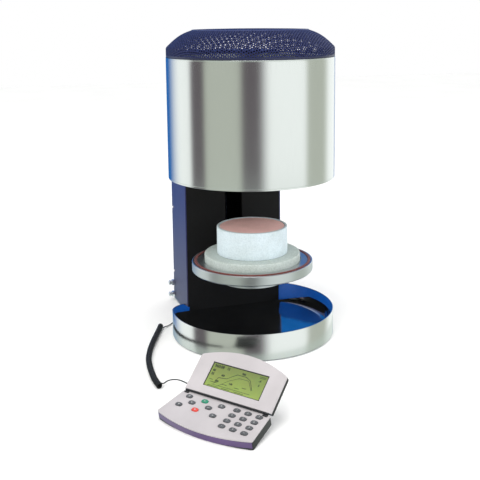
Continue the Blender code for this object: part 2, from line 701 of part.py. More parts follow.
def make_carriage(elevator):
    """Block that slides on the two rods and is driven by the screw."""
    y = ROD_PLACE
    low = CARRIAGE_LOW
    high = low + CARRIAGE_HEIGHT
    half = CARRIAGE_DEPTH / 2
    block = box((-CARRIAGE_HALF, y - half, low), (CARRIAGE_HALF, y + half, high))
    put(bevel(block, 0.0015), "carriage", "aluminium", elevator)
    for x, radius in ((-ROD_SPREAD, ROD_RADIUS), (ROD_SPREAD, ROD_RADIUS), (0, SCREW_RADIUS)):
        cut(bpy.data.objects["carriage"], rod(radius + RUN, (x, y, low - 0.01), (x, y, high + 0.01), 20))
    front = y - half - GAP
    seat = ARM_SEAT
    t = ARM_SHEET
    outline = [Vector(p) for p in ((-ARM_REACH, seat - t), (front, seat - t), (front, high), (front - t, high),
                                   (front - t, seat + t), (front - 2 * t, seat), (-ARM_REACH, seat))]
    arm = upright(slab([outline], -ARM_HALF, ARM_HALF))
    put(bevel(arm, 0.0008), "lift_arm", "black_anodised", elevator)


def make_table(elevator):
    """Table plate: chamfered rim, seal groove and a seat for the insulating disc."""
    top = TABLE_TOP
    low = top - TABLE_RIM
    r = TABLE_RADIUS
    groove_in = SEAL_RADIUS - SEAL_WIDTH / 2 - GAP
    groove_out = SEAL_RADIUS + SEAL_WIDTH / 2 + GAP
    seat = DISC_RADIUS + 0.002
    profile = [(0, top - DISC_SINK), (seat, top - DISC_SINK), (seat, top), (groove_in, top),
               (groove_in, top - SEAL_DEPTH), (groove_out, top - SEAL_DEPTH), (groove_out, top),
               (r - 0.001, top), (r, top - 0.001), (r, low + TABLE_CHAMFER), (r - TABLE_CHAMFER, low),
               (BOSS_RADIUS, low),
               (BOSS_RADIUS, low - BOSS_HEIGHT), (0, low - BOSS_HEIGHT)]
    put(turned(profile), "lift_plate", "aluminium", elevator)
    seal = ring_profile(SEAL_RADIUS - SEAL_WIDTH / 2, SEAL_RADIUS + SEAL_WIDTH / 2,
                        top - SEAL_DEPTH + GAP, top + SEAL_PROUD)
    put(turned(seal, closed=True), "door_gasket", "silicone_seal", elevator)
    base = top - DISC_SINK + GAP
    disc = [(0, DISC_TOP), (DISC_RADIUS - 0.0015, DISC_TOP), (DISC_RADIUS, DISC_TOP - 0.0015),
            (DISC_RADIUS, base), (0, base)]
    put(turned(disc), "insulation_disc", "fibre_disc", elevator)
    seat = PEDESTAL_TOP - TRAY_THICKNESS - GAP
    well = TRAY_RADIUS + GAP * 2
    r = PEDESTAL_RADIUS
    pedestal = [(0, seat), (well, seat), (well, PEDESTAL_TOP), (r - 0.001, PEDESTAL_TOP),
                (r, PEDESTAL_TOP - 0.001), (r, DISC_TOP + GAP), (0, DISC_TOP + GAP)]
    put(turned(pedestal, 56), "pedestal", "fibre_pedestal", elevator)
    axis = add_empty("tray_axis", elevator, (0, 0, PEDESTAL_TOP))
    tray = [(0, -0.0004), (TRAY_RADIUS - 0.002, -0.0004), (TRAY_RADIUS, -0.0012),
            (TRAY_RADIUS, -TRAY_THICKNESS), (0, -TRAY_THICKNESS)]
    put(turned(tray, 48), "firing_tray", "tray_ceramic", axis)


# ---- handset ----

def bulged(half, side, bulge, start_half, start, steps=14):
    """Outline with straight sides and an arched far edge."""
    points = [(start_half, start)]
    for i in range(steps + 1):
        x = half * (1 - 2 * i / steps)
        points.append((x, side + bulge * (1 - (x / half) ** 2)))
    return points + [(-start_half, start)]


def deck_outline(inset=0.0):
    points = bulged(FRONT_HALF - inset, -DECK_DEPTH + inset, -FRONT_BULGE, HINGE_HALF - inset, -GAP - inset)
    return rounded([(x, y, 0.0025 if i in (1, len(points) - 2) else 0) for i, (x, y) in enumerate(points)], 3)


def lid_outline():
    points = bulged(HINGE_HALF, LID_SIDE, LID_BULGE, HINGE_HALF, LID_START)
    return rounded([(x, y, LID_CORNER if i in (1, len(points) - 2) else 0) for i, (x, y) in enumerate(points)], 5)


def key_outline(centre=(0, 0), grow=0.0):
    w = KEY_SIZE[0] / 2 + grow
    h = KEY_SIZE[1] / 2 + grow
    x, y = centre
    r = KEY_ROUND + grow
    return rounded([(x - w, y - h, r), (x + w, y - h, r), (x + w, y + h, r), (x - w, y + h, r)], 2)


def key_places():
    places = dict(FUNCTION_KEYS)
    for row, names in enumerate(DIGITS):
        for column, name in enumerate(names):
            x = DIGIT_FIRST[0] + column * DIGIT_PITCH[0]
            places["key_" + name] = (x, DIGIT_FIRST[1] - row * DIGIT_PITCH[1])
    return places


def make_handset_body(handset):
    """Hollow lower shell with a stand under the hinge, sliced level where it meets the table."""
    low = -BODY_THICKNESS
    shell = put(slab([deck_outline()], low, -DECK_THICKNESS - GAP), "handset_base", "violet_shell", handset)
    stand = box((-STAND_HALF, -0.006 - STAND_DEPTH, low - 0.02), (STAND_HALF, -0.006, low + SHELL_WALL / 2))
    cut(shell, stand, "UNION")
    cut(shell, slab([deck_outline(SHELL_WALL)], low + SHELL_WALL, 0.01))
    cut(shell, floor_guide())
    deck = slab([deck_outline()], -DECK_THICKNESS, 0)
    put(deck, "handset_deck", "white_shell", handset)
    for side in (-1, 1):
        x = sorted((side * (BARREL_HALF + GAP), side * (BARREL_HALF + LUG_WIDTH)))
        foot = box((x[0], -0.0045, -DECK_THICKNESS / 2), (x[1], -0.0006, HINGE_RISE - 0.0006))
        cut(deck, foot, "UNION")
        cut(deck, rod(BARREL_RADIUS, (x[0], 0, HINGE_RISE), (x[1], 0, HINGE_RISE), 12), "UNION")
    holes = [key_outline(place, KEY_CLEARANCE) for place in key_places().values()]
    cut(deck, slab(holes, -0.01, 0.01))


def floor_guide():
    """Guide block whose top face is the table's surface, seen from the sloping handset."""
    block = box((-0.2, -0.2, -0.1), (0.2, 0.2, 0))
    block.data.transform(Matrix.Translation((0, 0, -HANDSET_PLACE[2])))
    block.data.transform(Matrix.Rotation(-DECK_SLOPE, 4, "X"))
    return block


def make_lid(hinge):
    """Lid with the screen: white bezel in front, dark shell behind, hinge barrel at its foot."""
    bezel = put(slab([lid_outline()], -BEZEL_THICKNESS, 0), "display_frame", "white_shell", hinge)
    cut(bezel, box((-SCREEN_HALF, SCREEN_LOW, -0.01), (SCREEN_HALF, SCREEN_HIGH, 0.01)))
    high = -BEZEL_THICKNESS - GAP
    back = put(slab([lid_outline()], high - BACK_THICKNESS, high), "display_back", "lid_shell", hinge)
    bevel(back, 0.0012, 2)
    web = box((-BARREL_HALF, 0, high - 0.002), (BARREL_HALF, LID_START + 0.001, high))
    cut(back, web, "UNION")
    neck = box((-BARREL_HALF, -0.001, high - 0.0015), (BARREL_HALF, 0.001, 0))
    cut(back, neck, "UNION")
    cut(back, rod(BARREL_RADIUS, (-BARREL_HALF, 0, 0), (BARREL_HALF, 0, 0), 12), "UNION")
    g = GAP
    screen = box((-SCREEN_HALF + g, SCREEN_LOW + g, -BEZEL_THICKNESS),
                 (SCREEN_HALF - g, SCREEN_HIGH - g, -SCREEN_SINK))
    put(screen, "lcd_panel", "screen", hinge)


def make_keys(handset):
    colours = {"key_start": "key_green", "key_stop": "key_red"}
    for name, (x, y) in key_places().items():
        key = slab([key_outline()], -KEY_TRAVEL - DECK_THICKNESS - 0.0012, KEY_HEIGHT)
        put(bevel(key, 0.0005), name, colours.get(name, "key_grey"), handset, (x, y, 0))


def make_handset(root):
    handset = add_empty("handset", root, HANDSET_PLACE, (DECK_SLOPE, 0, HANDSET_YAW))
    make_handset_body(handset)
    hinge = add_empty("display_axis", handset, (0, 0, HINGE_RISE), (LID_OPEN, 0, 0))
    make_lid(hinge)
    make_keys(handset)
    return handset


# ---- cord ----

def make_cord(root, handset):
    y, z = GLAND_PLACE
    face = -COLUMN_HALF - GAP
    gland = put(rod(GLAND_RADIUS, (0, 0, 0), (-GLAND_LENGTH * 0.45, 0, 0), 6), "kiln_gland", "black_plastic",
                root, (face, y, z))
    cut(gland, rod(GLAND_RADIUS * 0.72, (-0.002, 0, 0), (-GLAND_LENGTH, 0, 0), 12), "UNION")
    start = (face - GLAND_LENGTH - GAP, y, z)
    put(tube(smooth_route([start] + KILN_ROUTE, 0.005), WIRE_RADIUS), "cord_tail_kiln", "cord_sheath", root)
    middle = [(px, py, CURL_RADIUS + GAP) for px, py in CURL_ROUTE]
    put(tube(smooth_route(middle, 0.012), CURL_RADIUS), "cord_curl", "cord_sheath", root)
    x, drop = PLUG_PLACE
    plug = rod(0.0028, (0, 0, 0), (0, 0.006, 0), 12)
    put(plug, "handset_gland", "black_plastic", handset, (x, GAP, drop))
    tilt = Matrix.Rotation(HANDSET_YAW, 4, "Z") @ Matrix.Rotation(DECK_SLOPE, 4, "X")
    exits = [Vector(HANDSET_PLACE) + tilt @ Vector((x, 2 * GAP + 0.006 + out, drop)) for out in (0, 0.008)]
    route = HANDSET_ROUTE + [tuple(exits[1]), tuple(exits[0])]
    put(tube(smooth_route(route, 0.005), WIRE_RADIUS), "cord_tail_handset", "cord_sheath", root)


# ---- placing ----

def centre_on_floor(root, left_out):
    """Move everything so that the outline of the solid pieces is centred on the Z axis."""
    bpy.context.view_layer.update()
    depsgraph = bpy.context.evaluated_depsgraph_get()
    lows, highs = [], []
    for ob in kilnParts.objects:
        if ob.type != "MESH" or ob.name in left_out:
            continue
        evaluated = ob.evaluated_get(depsgraph)
        places = np.array([evaluated.matrix_world @ v.co for v in evaluated.data.vertices])
        lows.append(places.min(axis=0))
        highs.append(places.max(axis=0))
    low = np.min(lows, axis=0)
    high = np.max(highs, axis=0)
    root.location = (-(low[0] + high[0]) / 2, -(low[1] + high[1]) / 2, -low[2])
    bpy.context.view_layer.update()


clear_scene()
kilnParts = new_collection("porcelain_kiln")
cutters = new_collection("cutters")
materials = {name: make_material(name) for name in COLOURS}

root = add_empty("kiln")
make_casing(root)
make_cap(root)
make_vessel(root)
make_insulation(root)
make_heating(root)
make_ring(root)
make_base_plate(root)
make_dish(root)
make_feet(root)
make_column_cover(root)
make_column_front(root)
make_ports(root)
make_power(root)
make_lift_frame(root)
elevator = add_empty("elevator", root)
make_carriage(elevator)
make_table(elevator)
handset = make_handset(root)
make_cord(root, handset)
centre_on_floor(root, {"cord_tail_kiln", "cord_curl", "cord_tail_handset"})
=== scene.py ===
import json
from math import atan2, cos, hypot, pi, radians, sin, sqrt

import bmesh
import bpy
import numpy as np
from mathutils import Matrix, Vector


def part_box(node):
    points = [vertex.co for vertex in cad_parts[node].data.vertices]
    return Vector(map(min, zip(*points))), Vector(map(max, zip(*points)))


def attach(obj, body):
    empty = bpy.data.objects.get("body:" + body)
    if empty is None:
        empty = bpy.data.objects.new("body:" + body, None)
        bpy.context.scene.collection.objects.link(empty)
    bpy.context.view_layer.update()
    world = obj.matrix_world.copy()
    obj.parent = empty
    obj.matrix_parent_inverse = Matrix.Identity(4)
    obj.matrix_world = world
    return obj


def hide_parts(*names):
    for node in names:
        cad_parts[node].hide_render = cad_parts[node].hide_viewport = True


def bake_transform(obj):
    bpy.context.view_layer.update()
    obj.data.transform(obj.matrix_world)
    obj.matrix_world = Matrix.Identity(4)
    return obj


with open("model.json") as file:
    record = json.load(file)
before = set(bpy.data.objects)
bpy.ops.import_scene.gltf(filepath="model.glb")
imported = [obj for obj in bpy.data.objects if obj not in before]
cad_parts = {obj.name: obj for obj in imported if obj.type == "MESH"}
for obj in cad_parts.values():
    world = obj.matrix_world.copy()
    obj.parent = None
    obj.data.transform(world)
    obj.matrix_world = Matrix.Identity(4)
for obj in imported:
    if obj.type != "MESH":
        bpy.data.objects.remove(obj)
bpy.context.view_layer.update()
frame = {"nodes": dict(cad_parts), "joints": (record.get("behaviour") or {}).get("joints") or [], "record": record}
scene = bpy.context.scene
scene.view_settings.view_transform = "Standard"
scene.view_settings.look = "None"

mm = 0.001
casingLow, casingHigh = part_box("casing_shell")
axisX = (casingLow[0] + casingHigh[0]) / 2      # the chamber's axis, which most of the kiln is turned about
axisY = (casingLow[1] + casingHigh[1]) / 2
casingRadius = (casingHigh[0] - casingLow[0]) / 2
print("frame loaded, chamber axis at", round(axisX, 4), round(axisY, 4))


def kilnPoint(x, y, z=0.0):
    return Vector((axisX + x * mm, axisY + y * mm, z * mm))      # millimetres from the chamber axis


def jointOf(name):
    return next(joint for joint in frame["joints"] if joint["name"] == name)


bodyOf = {node: body for body, nodes in frame["record"]["behaviour"]["bodies"].items() for node in nodes}


# camera

cameraValues = {"place": (-454.35, -1374.19, 557.18), "heading": 19.111, "tilt": 9.197, "roll": -0.385,
                "lens": 62.858, "shiftX": -0.0483, "shiftY": -0.18}


def makeCamera(values):
    camera = bpy.data.objects.new("studioCamera", bpy.data.cameras.new("studioCamera"))
    scene.collection.objects.link(camera)
    heading, tilt, roll = (radians(values[k]) for k in ("heading", "tilt", "roll"))
    ahead = Vector((sin(heading) * cos(tilt), cos(heading) * cos(tilt), -sin(tilt)))
    across = Vector((cos(heading), -sin(heading), 0))
    above = across.cross(ahead)
    right = across * cos(roll) + above * sin(roll)
    up = above * cos(roll) - across * sin(roll)
    turn = Matrix((right, up, -ahead)).transposed()
    camera.matrix_world = Matrix.Translation(kilnPoint(*values["place"])) @ turn.to_4x4()
    camera.data.sensor_width = 36
    camera.data.lens = values["lens"]
    camera.data.shift_x = values["shiftX"]
    camera.data.shift_y = values["shiftY"]
    camera.data.clip_end = 50
    scene.camera = camera


makeCamera(cameraValues)
print("camera placed")


# shared tools

def addNode(tree, kind, settings=None, links=None):
    node = tree.nodes.new(kind)
    for name, value in (settings or {}).items():
        if isinstance(name, int) or name in node.inputs:
            node.inputs[name].default_value = value
        else:
            setattr(node, name, value)
    for name, source in (links or {}).items():
        tree.links.new(source, node.inputs[name])
    return node


def colour(hexValue):
    parts = [int(hexValue[i:i + 2], 16) / 255 for i in (1, 3, 5)]
    return tuple(c / 12.92 if c <= 0.04045 else ((c + 0.055) / 1.055) ** 2.4 for c in parts) + (1,)


def newMaterial(name, settings):
    material = bpy.data.materials.new(name)
    material.use_nodes = True
    tree = material.node_tree
    shader = tree.nodes["Principled BSDF"]
    for socket, value in settings.items():
        shader.inputs[socket].default_value = value
    place = addNode(tree, "ShaderNodeTexCoord").outputs["Object"]
    return material, tree, shader, place


def speckle(tree, place, scale, dark, light, detail=4, low=0.35, high=0.65):
    noise = addNode(tree, "ShaderNodeTexNoise", {"Scale": scale, "Detail": detail}, {"Vector": place})
    ramp = addNode(tree, "ShaderNodeValToRGB", links={"Fac": noise.outputs["Fac"]})
    ramp.color_ramp.elements[0].position = low
    ramp.color_ramp.elements[1].position = high
    ramp.color_ramp.elements[0].color = dark
    ramp.color_ramp.elements[1].color = light
    return ramp.outputs["Color"], noise.outputs["Fac"]


def addBump(tree, shader, height, distance, strength=1.0):
    bump = addNode(tree, "ShaderNodeBump", {"Strength": strength, "Distance": distance}, {"Height": height})
    tree.links.new(bump.outputs["Normal"], shader.inputs["Normal"])


def varyRoughness(tree, shader, value, low, high):
    scaled = addNode(tree, "ShaderNodeMapRange", {"To Min": low, "To Max": high}, {"Value": value})
    tree.links.new(scaled.outputs["Result"], shader.inputs["Roughness"])


def polar(tree, place):
    # radius, turn and height about the chamber's axis
    centred = addNode(tree, "ShaderNodeMapping", {"Location": (-axisX, -axisY, 0)}, {"Vector": place})
    parts = addNode(tree, "ShaderNodeSeparateXYZ", links={"Vector": centred.outputs["Vector"]})
    flat = addNode(tree, "ShaderNodeCombineXYZ", links={"X": parts.outputs["X"], "Y": parts.outputs["Y"]})
    radius = addNode(tree, "ShaderNodeVectorMath", {"operation": "LENGTH"}, {0: flat.outputs["Vector"]})
    turn = addNode(tree, "ShaderNodeMath", {"operation": "ARCTAN2"},
                   {0: parts.outputs["Y"], 1: parts.outputs["X"]})
    return radius.outputs["Value"], turn.outputs["Value"], parts.outputs["Z"]


def meshPiece(name, bm, material, body, smoothAngle=35):
    mesh = bpy.data.meshes.new(name)
    bm.to_mesh(mesh)
    bm.free()
    piece = bpy.data.objects.new(name, mesh)
    scene.collection.objects.link(piece)
    mesh.materials.append(material)
    mesh.shade_smooth()
    mesh.set_sharp_from_angle(angle=radians(smoothAngle))
    if body:
        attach(piece, body)
    return piece


def lathe(bm, profile, centre=(axisX, axisY, 0), steps=64, axis=(0, 0, 1), closed=False):
    # a profile of (radius, height) in millimetres turned round an axis through centre
    turn = Vector((0, 0, 1)).rotation_difference(Vector(axis)).to_matrix()
    rings = []
    for r, h in ((radius * mm, height * mm) for radius, height in profile):
        angles = [2 * pi * i / steps for i in range(steps if r else 1)]
        ring = [Vector((r * cos(a), r * sin(a), h)) for a in angles]
        rings.append([bm.verts.new(Vector(centre) + turn @ point) for point in ring])
    pairs = list(zip(rings, rings[1:])) + ([(rings[-1], rings[0])] if closed else [])
    for a, b in pairs:
        for i in range(steps):
            j = (i + 1) % steps
            if len(a) == 1 and len(b) == 1:
                continue
            if len(a) == 1:
                bm.faces.new((a[0], b[i], b[j]))
            elif len(b) == 1:
                bm.faces.new((a[i], b[0], a[j]))
            else:
                bm.faces.new((a[i], b[i], b[j], a[j]))
    bmesh.ops.recalc_face_normals(bm, faces=bm.faces)


def filletLine(points, radius, steps=3):
    # points of a profile with every inner corner rounded
    out = [points[0]]
    for before, here, after in zip(points, points[1:], points[2:]):
        p, a, b = Vector(here), Vector(before), Vector(after)
        r = min(radius, (a - p).length * 0.45, (b - p).length * 0.45)
        first, last = p + (a - p).normalized() * r, p + (b - p).normalized() * r
        for i in range(steps + 1):
            t = i / steps
            out.append(tuple(first * (1 - t) ** 2 + p * 2 * t * (1 - t) + last * t ** 2))
    return out + [points[-1]]


def mergedCopy(node):
    # a CAD piece's triangles, merged and joined where they are flat
    bm = bmesh.new()
    bm.from_mesh(frame["nodes"][node].data)
    bmesh.ops.remove_doubles(bm, verts=bm.verts, dist=0.00001)
    bmesh.ops.dissolve_limit(bm, angle_limit=radians(0.6), verts=bm.verts, edges=bm.edges)
    return bm


def softenEdges(piece, width, sharp):
    edge = piece.modifiers.new("edge", "BEVEL")
    edge.width = width
    edge.segments = 2
    edge.limit_method = "ANGLE"
    edge.angle_limit = radians(sharp)


def refine(node, material, bevel=0.0, sharp=35):
    # a merged copy of a CAD piece with softened edges, standing for it
    piece = meshPiece(node + "Finished", mergedCopy(node), material, bodyOf[node], smoothAngle=sharp)
    if bevel:
        softenEdges(piece, bevel, sharp)
    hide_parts(node)
    return piece


# metals

def makeBrushedStainless():
    # cold-rolled 304 sheet, brushed along its length before rolling: long satin streaks, crisp bands of light
    material, tree, shader, place = newMaterial("brushed304Stainless", {
        "Base Color": colour("#D9DBDA"), "Metallic": 1.0, "Roughness": 0.2})
    turn, height = polar(tree, place)[1:]
    grain = addNode(tree, "ShaderNodeCombineXYZ", links={"X": turn, "Y": height})
    stretch = addNode(tree, "ShaderNodeMapping", {"Scale": (900, 30, 1)}, {"Vector": grain.outputs["Vector"]})
    streak = addNode(tree, "ShaderNodeTexNoise", {"Scale": 1.0, "Detail": 5},
                     {"Vector": stretch.outputs["Vector"]})
    cloud = addNode(tree, "ShaderNodeTexNoise", {"Scale": 9.0, "Detail": 2}, {"Vector": place})
    both = addNode(tree, "ShaderNodeMath", {"operation": "MULTIPLY"},
                   {0: streak.outputs["Fac"], 1: cloud.outputs["Fac"]})
    varyRoughness(tree, shader, both.outputs["Value"], 0.15, 0.27)
    tint = addNode(tree, "ShaderNodeMix", {"data_type": "RGBA", 6: colour("#CDD0CF"), 7: colour("#E4E6E4")},
                   {0: streak.outputs["Fac"]})
    tree.links.new(tint.outputs[2], shader.inputs["Base Color"])
    addBump(tree, shader, streak.outputs["Fac"], 0.00002, 0.25)
    return material


def makeTurnedAluminium():
    # 6082 aluminium faced on a lathe: fine rings that catch the light as a soft fan
    material, tree, shader, place = newMaterial("turnedAluminium", {
        "Base Color": colour("#C9CDCE"), "Metallic": 1.0, "Roughness": 0.34})
    radius, height = polar(tree, place)[0::2]
    rings = addNode(tree, "ShaderNodeMath", {"operation": "MULTIPLY_ADD", 1: 2200.0}, {0: radius})
    tall = addNode(tree, "ShaderNodeMath", {"operation": "MULTIPLY", 1: 2200.0}, {0: height})
    tree.links.new(tall.outputs["Value"], rings.inputs[2])
    wave = addNode(tree, "ShaderNodeMath", {"operation": "SINE"}, {0: rings.outputs["Value"]})
    noise = addNode(tree, "ShaderNodeTexNoise", {"Scale": 55.0, "Detail": 5}, {"Vector": place})
    varyRoughness(tree, shader, noise.outputs["Fac"], 0.24, 0.46)
    addBump(tree, shader, wave.outputs["Value"], 0.000012, 0.5)
    return material


def makePlainMetal(name, hexDark, hexLight, rough, metallic=1.0, scale=120, bump=0.00003):
    material, tree, shader, place = newMaterial(name, {"Metallic": metallic, "Roughness": rough})
    tone, grain = speckle(tree, place, scale, colour(hexDark), colour(hexLight))
    tree.links.new(tone, shader.inputs["Base Color"])
    varyRoughness(tree, shader, grain, rough * 0.75, rough * 1.3)
    addBump(tree, shader, grain, bump, 0.4)
    return material


def makePowderCoat(name, hexDark, hexLight, rough, texture=0.8, clear=0.0, floorReflection=None, specular=0.5):
    # electrostatic powder coat over folded steel: even colour with a fine orange peel about 0.8 mm across; a floor
    # reflection, where given, pales the colour towards the bottom as a painted reflection of the pale floor
    material, tree, shader, place = newMaterial(name, {
        "Roughness": rough, "Coat Weight": clear, "Coat Roughness": 0.15, "Specular IOR Level": specular})
    tone = speckle(tree, place, 260, colour(hexDark), colour(hexLight), detail=3, low=0.2, high=0.8)[0]
    peel = addNode(tree, "ShaderNodeTexNoise", {"Scale": 1 / (texture * mm), "Detail": 2}, {"Vector": place})
    # painted reflection of the pale floor: the colour turns paler towards the bottom
    if floorReflection:
        parts = addNode(tree, "ShaderNodeSeparateXYZ", links={"Vector": place})
        low, high, hexFloorReflection = floorReflection
        amount = addNode(tree, "ShaderNodeMapRange", {"From Min": high, "From Max": low},
                         {"Value": parts.outputs["Z"]})
        mix = addNode(tree, "ShaderNodeMix", {"data_type": "RGBA", 7: colour(hexFloorReflection)},
                      {0: amount.outputs["Result"], 6: tone})
        tone = mix.outputs[2]
    tree.links.new(tone, shader.inputs["Base Color"])
    varyRoughness(tree, shader, peel.outputs["Fac"], rough * 0.85, rough * 1.2)
    addBump(tree, shader, peel.outputs["Fac"], 0.00005, 0.35)
    return material


def makeFibre(name, hexDark, hexLight, bump=0.00025, scale=420):
    # vacuum-formed alumina fibre board: chalky, with short felted fibres and a few grey shots
    material, tree, shader, place = newMaterial(name, {"Roughness": 0.95, "Specular IOR Level": 0.2})
    tone, grain = speckle(tree, place, scale, colour(hexDark), colour(hexLight), detail=8, low=0.3, high=0.6)
    patch = addNode(tree, "ShaderNodeTexNoise", {"Scale": 38.0, "Detail": 4}, {"Vector": place})
    mix = addNode(tree, "ShaderNodeMix", {"data_type": "RGBA", "blend_type": "MULTIPLY", 0: 0.35}, {6: tone})
    soft = addNode(tree, "ShaderNodeValToRGB", links={"Fac": patch.outputs["Fac"]})
    soft.color_ramp.elements[0].position, soft.color_ramp.elements[0].color = 0.3, colour("#D9D9D2")
    soft.color_ramp.elements[1].position, soft.color_ramp.elements[1].color = 0.6, colour("#FFFFFF")
    tree.links.new(soft.outputs["Color"], mix.inputs[7])
    tree.links.new(mix.outputs[2], shader.inputs["Base Color"])
    addBump(tree, shader, grain, bump, 0.5)
    return material


def makePlastic(name, hexDark, hexLight, rough, grain=0.35, clear=0.0, bump=0.00002):
    # injection-moulded ABS with a fine spark-eroded grain about a third of a millimetre across
    settings = {"Roughness": rough, "Coat Weight": clear, "Coat Roughness": 0.12}
    material, tree, shader, place = newMaterial(name, settings)
    tone = speckle(tree, place, 18, colour(hexDark), colour(hexLight), detail=3)[0]
    cells = addNode(tree, "ShaderNodeTexNoise", {"Scale": 1 / (grain * mm), "Detail": 3}, {"Vector": place})
    tree.links.new(tone, shader.inputs["Base Color"])
    varyRoughness(tree, shader, cells.outputs["Fac"], rough * 0.85, rough * 1.15)
    addBump(tree, shader, cells.outputs["Fac"], bump, 0.3)
    return material


def makeRubber(name, hexDark, hexLight, rough=0.6):
    # moulded silicone: matt, very slightly soft at the edges, with a bloom of dust
    material, tree, shader, place = newMaterial(name, {"Roughness": rough, "Specular IOR Level": 0.35,
                                                       "Sheen Weight": 0.15, "Sheen Roughness": 0.5})
    tone, grain = speckle(tree, place, 160, colour(hexDark), colour(hexLight))
    tree.links.new(tone, shader.inputs["Base Color"])
    addBump(tree, shader, grain, 0.00003, 0.4)
    return material


stainless = makeBrushedStainless()
aluminium = makeTurnedAluminium()
zincSteel = makePlainMetal("zincPlatedSteel", "#8A8F96", "#A9ADB2", 0.38)
# aluminised steel darkened as painted shade, so the inside of the cap reads dark through its holes
vesselSteel = makePlainMetal("aluminisedSteelDarkPaintedShade", "#3A3B3D", "#4C4D50", 0.55)
groundSteel = makePlainMetal("groundSteel", "#B9BDC1", "#D0D3D6", 0.2, scale=300)
chrome = makePlainMetal("chromedBrass", "#DADDE0", "#EEF0F2", 0.07, scale=40, bump=0.000005)
darkSteel = makePlainMetal("blackenedSteel", "#17181A", "#26272A", 0.45, metallic=0.8)
capSheet = makePowderCoat("navyEnamelPerforated", "#191E42", "#222A58", 0.5, texture=1.5, specular=0.22)
capHem = makePowderCoat("navyEnamelHem", "#161A36", "#1F2548", 0.4, texture=1.5)
# a lighter copy of the cap's navy enamel: painted highlight standing for blue reflected light on the top disc's
# edge
capRimPaintedHighlight = makePowderCoat("navyEnamelPaintedHighlight", "#2C3560", "#36406F", 0.4, texture=1.5)
# navy powder coat; its lowest 220 mm turn grey-violet as a painted reflection of the pale floor
navyEnamel = makePowderCoat("navyPowderCoat", "#1F2660", "#242C69", 0.4, floorReflection=(0.0, 0.22, "#47455F"))
# 304 sheet polished to a near mirror: it shows the column, the blue wall and the table above it
panSteel = makePlainMetal("mirrorPolished304", "#C4C6C8", "#D3D5D6", 0.1, scale=25, bump=0.000008)
blackEnamel = makePowderCoat("blackPowderCoat", "#141415", "#1A1A1B", 0.75, texture=1.0, specular=0.25)
fibreDisc = makeFibre("aluminaFibreDisc", "#B2BEB9", "#C6D0CC", bump=0.00014)
fibrePedestal = makeFibre("aluminaFibrePedestal", "#C9D8DE", "#D8E5EA", bump=0.00012)
fibreBoard = makeFibre("aluminaFibreMuffle", "#D4D2C6", "#EBE9E0")
trayClay = makeFibre("cordieriteTray", "#ECB9B3", "#F6CBC6", bump=0.00012, scale=700)
heatingWire = makePlainMetal("resistanceWire", "#4E4640", "#6B5F55", 0.6, metallic=0.7)
sealRubber = makeRubber("siliconeSealRed", "#5E1E17", "#742B21", 0.5)
blackRubber = makeRubber("nitrileFootBlack", "#101011", "#1A1A1B", 0.75)
violetShell = makePlastic("absShellViolet", "#55406C", "#614A79", 0.3, clear=0.3)
whiteShell = makePlastic("absShellPearl", "#B3AEB0", "#BCB7B9", 0.35, clear=0.2)
blackShell = makePlastic("absShellBlack", "#141416", "#1D1D20", 0.35)
keyGrey = makeRubber("siliconeKeyGrey", "#46484B", "#55575B", 0.45)
keyGreen = makeRubber("siliconeKeyGreen", "#1F7359", "#2A8669", 0.45)
keyRed = makeRubber("siliconeKeyRed", "#C33A30", "#D94A3E", 0.45)
keyInk = makePlastic("keyLegendInk", "#A9A9AA", "#BDBDBE", 0.5)
lcdInk = makePlastic("lcdSegmentInk", "#1A2414", "#222D1A", 0.4)
print("materials made")


# cord

cordValues = {"wire": 0.95, "turnRadius": 3.95, "curlHeight": 5.2, "turns": 108.5, "perTurn": 14, "sides": 8,
              "gland": (-0.1066, 0.127, 0.014)}
kilnRoute = [
    (-0.1125, 0.1262, 0.0120), (-0.1150, 0.1215, 0.0066), (-0.1158, 0.1135, 0.0024),
    (-0.1168, 0.1045, 0.0013), (-0.1202, 0.0950, 0.0013), (-0.1262, 0.0850, 0.0013),
    (-0.1340, 0.0757, 0.0014), (-0.1415, 0.0680, 0.0018), (-0.1478, 0.0620, 0.0030),
]
curlRoute = [
    (-0.1560, 0.0635), (-0.1640, 0.0430), (-0.1785, 0.0080), (-0.1903, -0.0226), (-0.2000, -0.0520),
    (-0.2072, -0.0807), (-0.2112, -0.1110), (-0.2133, -0.1421), (-0.2135, -0.1640), (-0.2118, -0.1850),
]
handsetRoute = [
    (-0.2020, -0.1755, 0.0045), (-0.1955, -0.1710, 0.0052), (-0.1880, -0.1715, 0.0060),
    (-0.1815, -0.1765, 0.0070), (-0.1760, -0.1870, 0.0080), (-0.1724, -0.2000, 0.0095),
    (-0.1712, -0.2150, 0.0120), (-0.1722, -0.2300, 0.0146),
]


def smoothRoute(points, spacing):
    # evenly spaced points on a Catmull-Rom curve through a route
    pts = np.array(points)
    ends = np.vstack([2 * pts[0] - pts[1], pts, 2 * pts[-1] - pts[-2]])
    fine = []
    for i in range(1, len(ends) - 2):
        a, b, c, d = ends[i - 1:i + 3]
        for t in np.linspace(0, 1, 24, endpoint=False):
            fine.append(0.5 * (2 * b + (c - a) * t + (2 * a - 5 * b + 4 * c - d) * t ** 2
                               + (3 * b - a - 3 * c + d) * t ** 3))
    fine = np.array(fine + [pts[-1]])
    along = np.append(0, np.cumsum(np.linalg.norm(np.diff(fine, axis=0), axis=1)))
    places = np.linspace(0, along[-1], int(along[-1] / spacing) + 2)
    return np.stack([np.interp(places, along, fine[:, k]) for k in range(3)], axis=1)


def hermite(start, startPull, end, endPull, count):
    t = np.linspace(0, 1, count + 2)[1:-1, None]
    return ((2 * t ** 3 - 3 * t ** 2 + 1) * start + (t ** 3 - 2 * t ** 2 + t) * startPull
            + (3 * t ** 2 - 2 * t ** 3) * end + (t ** 3 - t ** 2) * endPull)


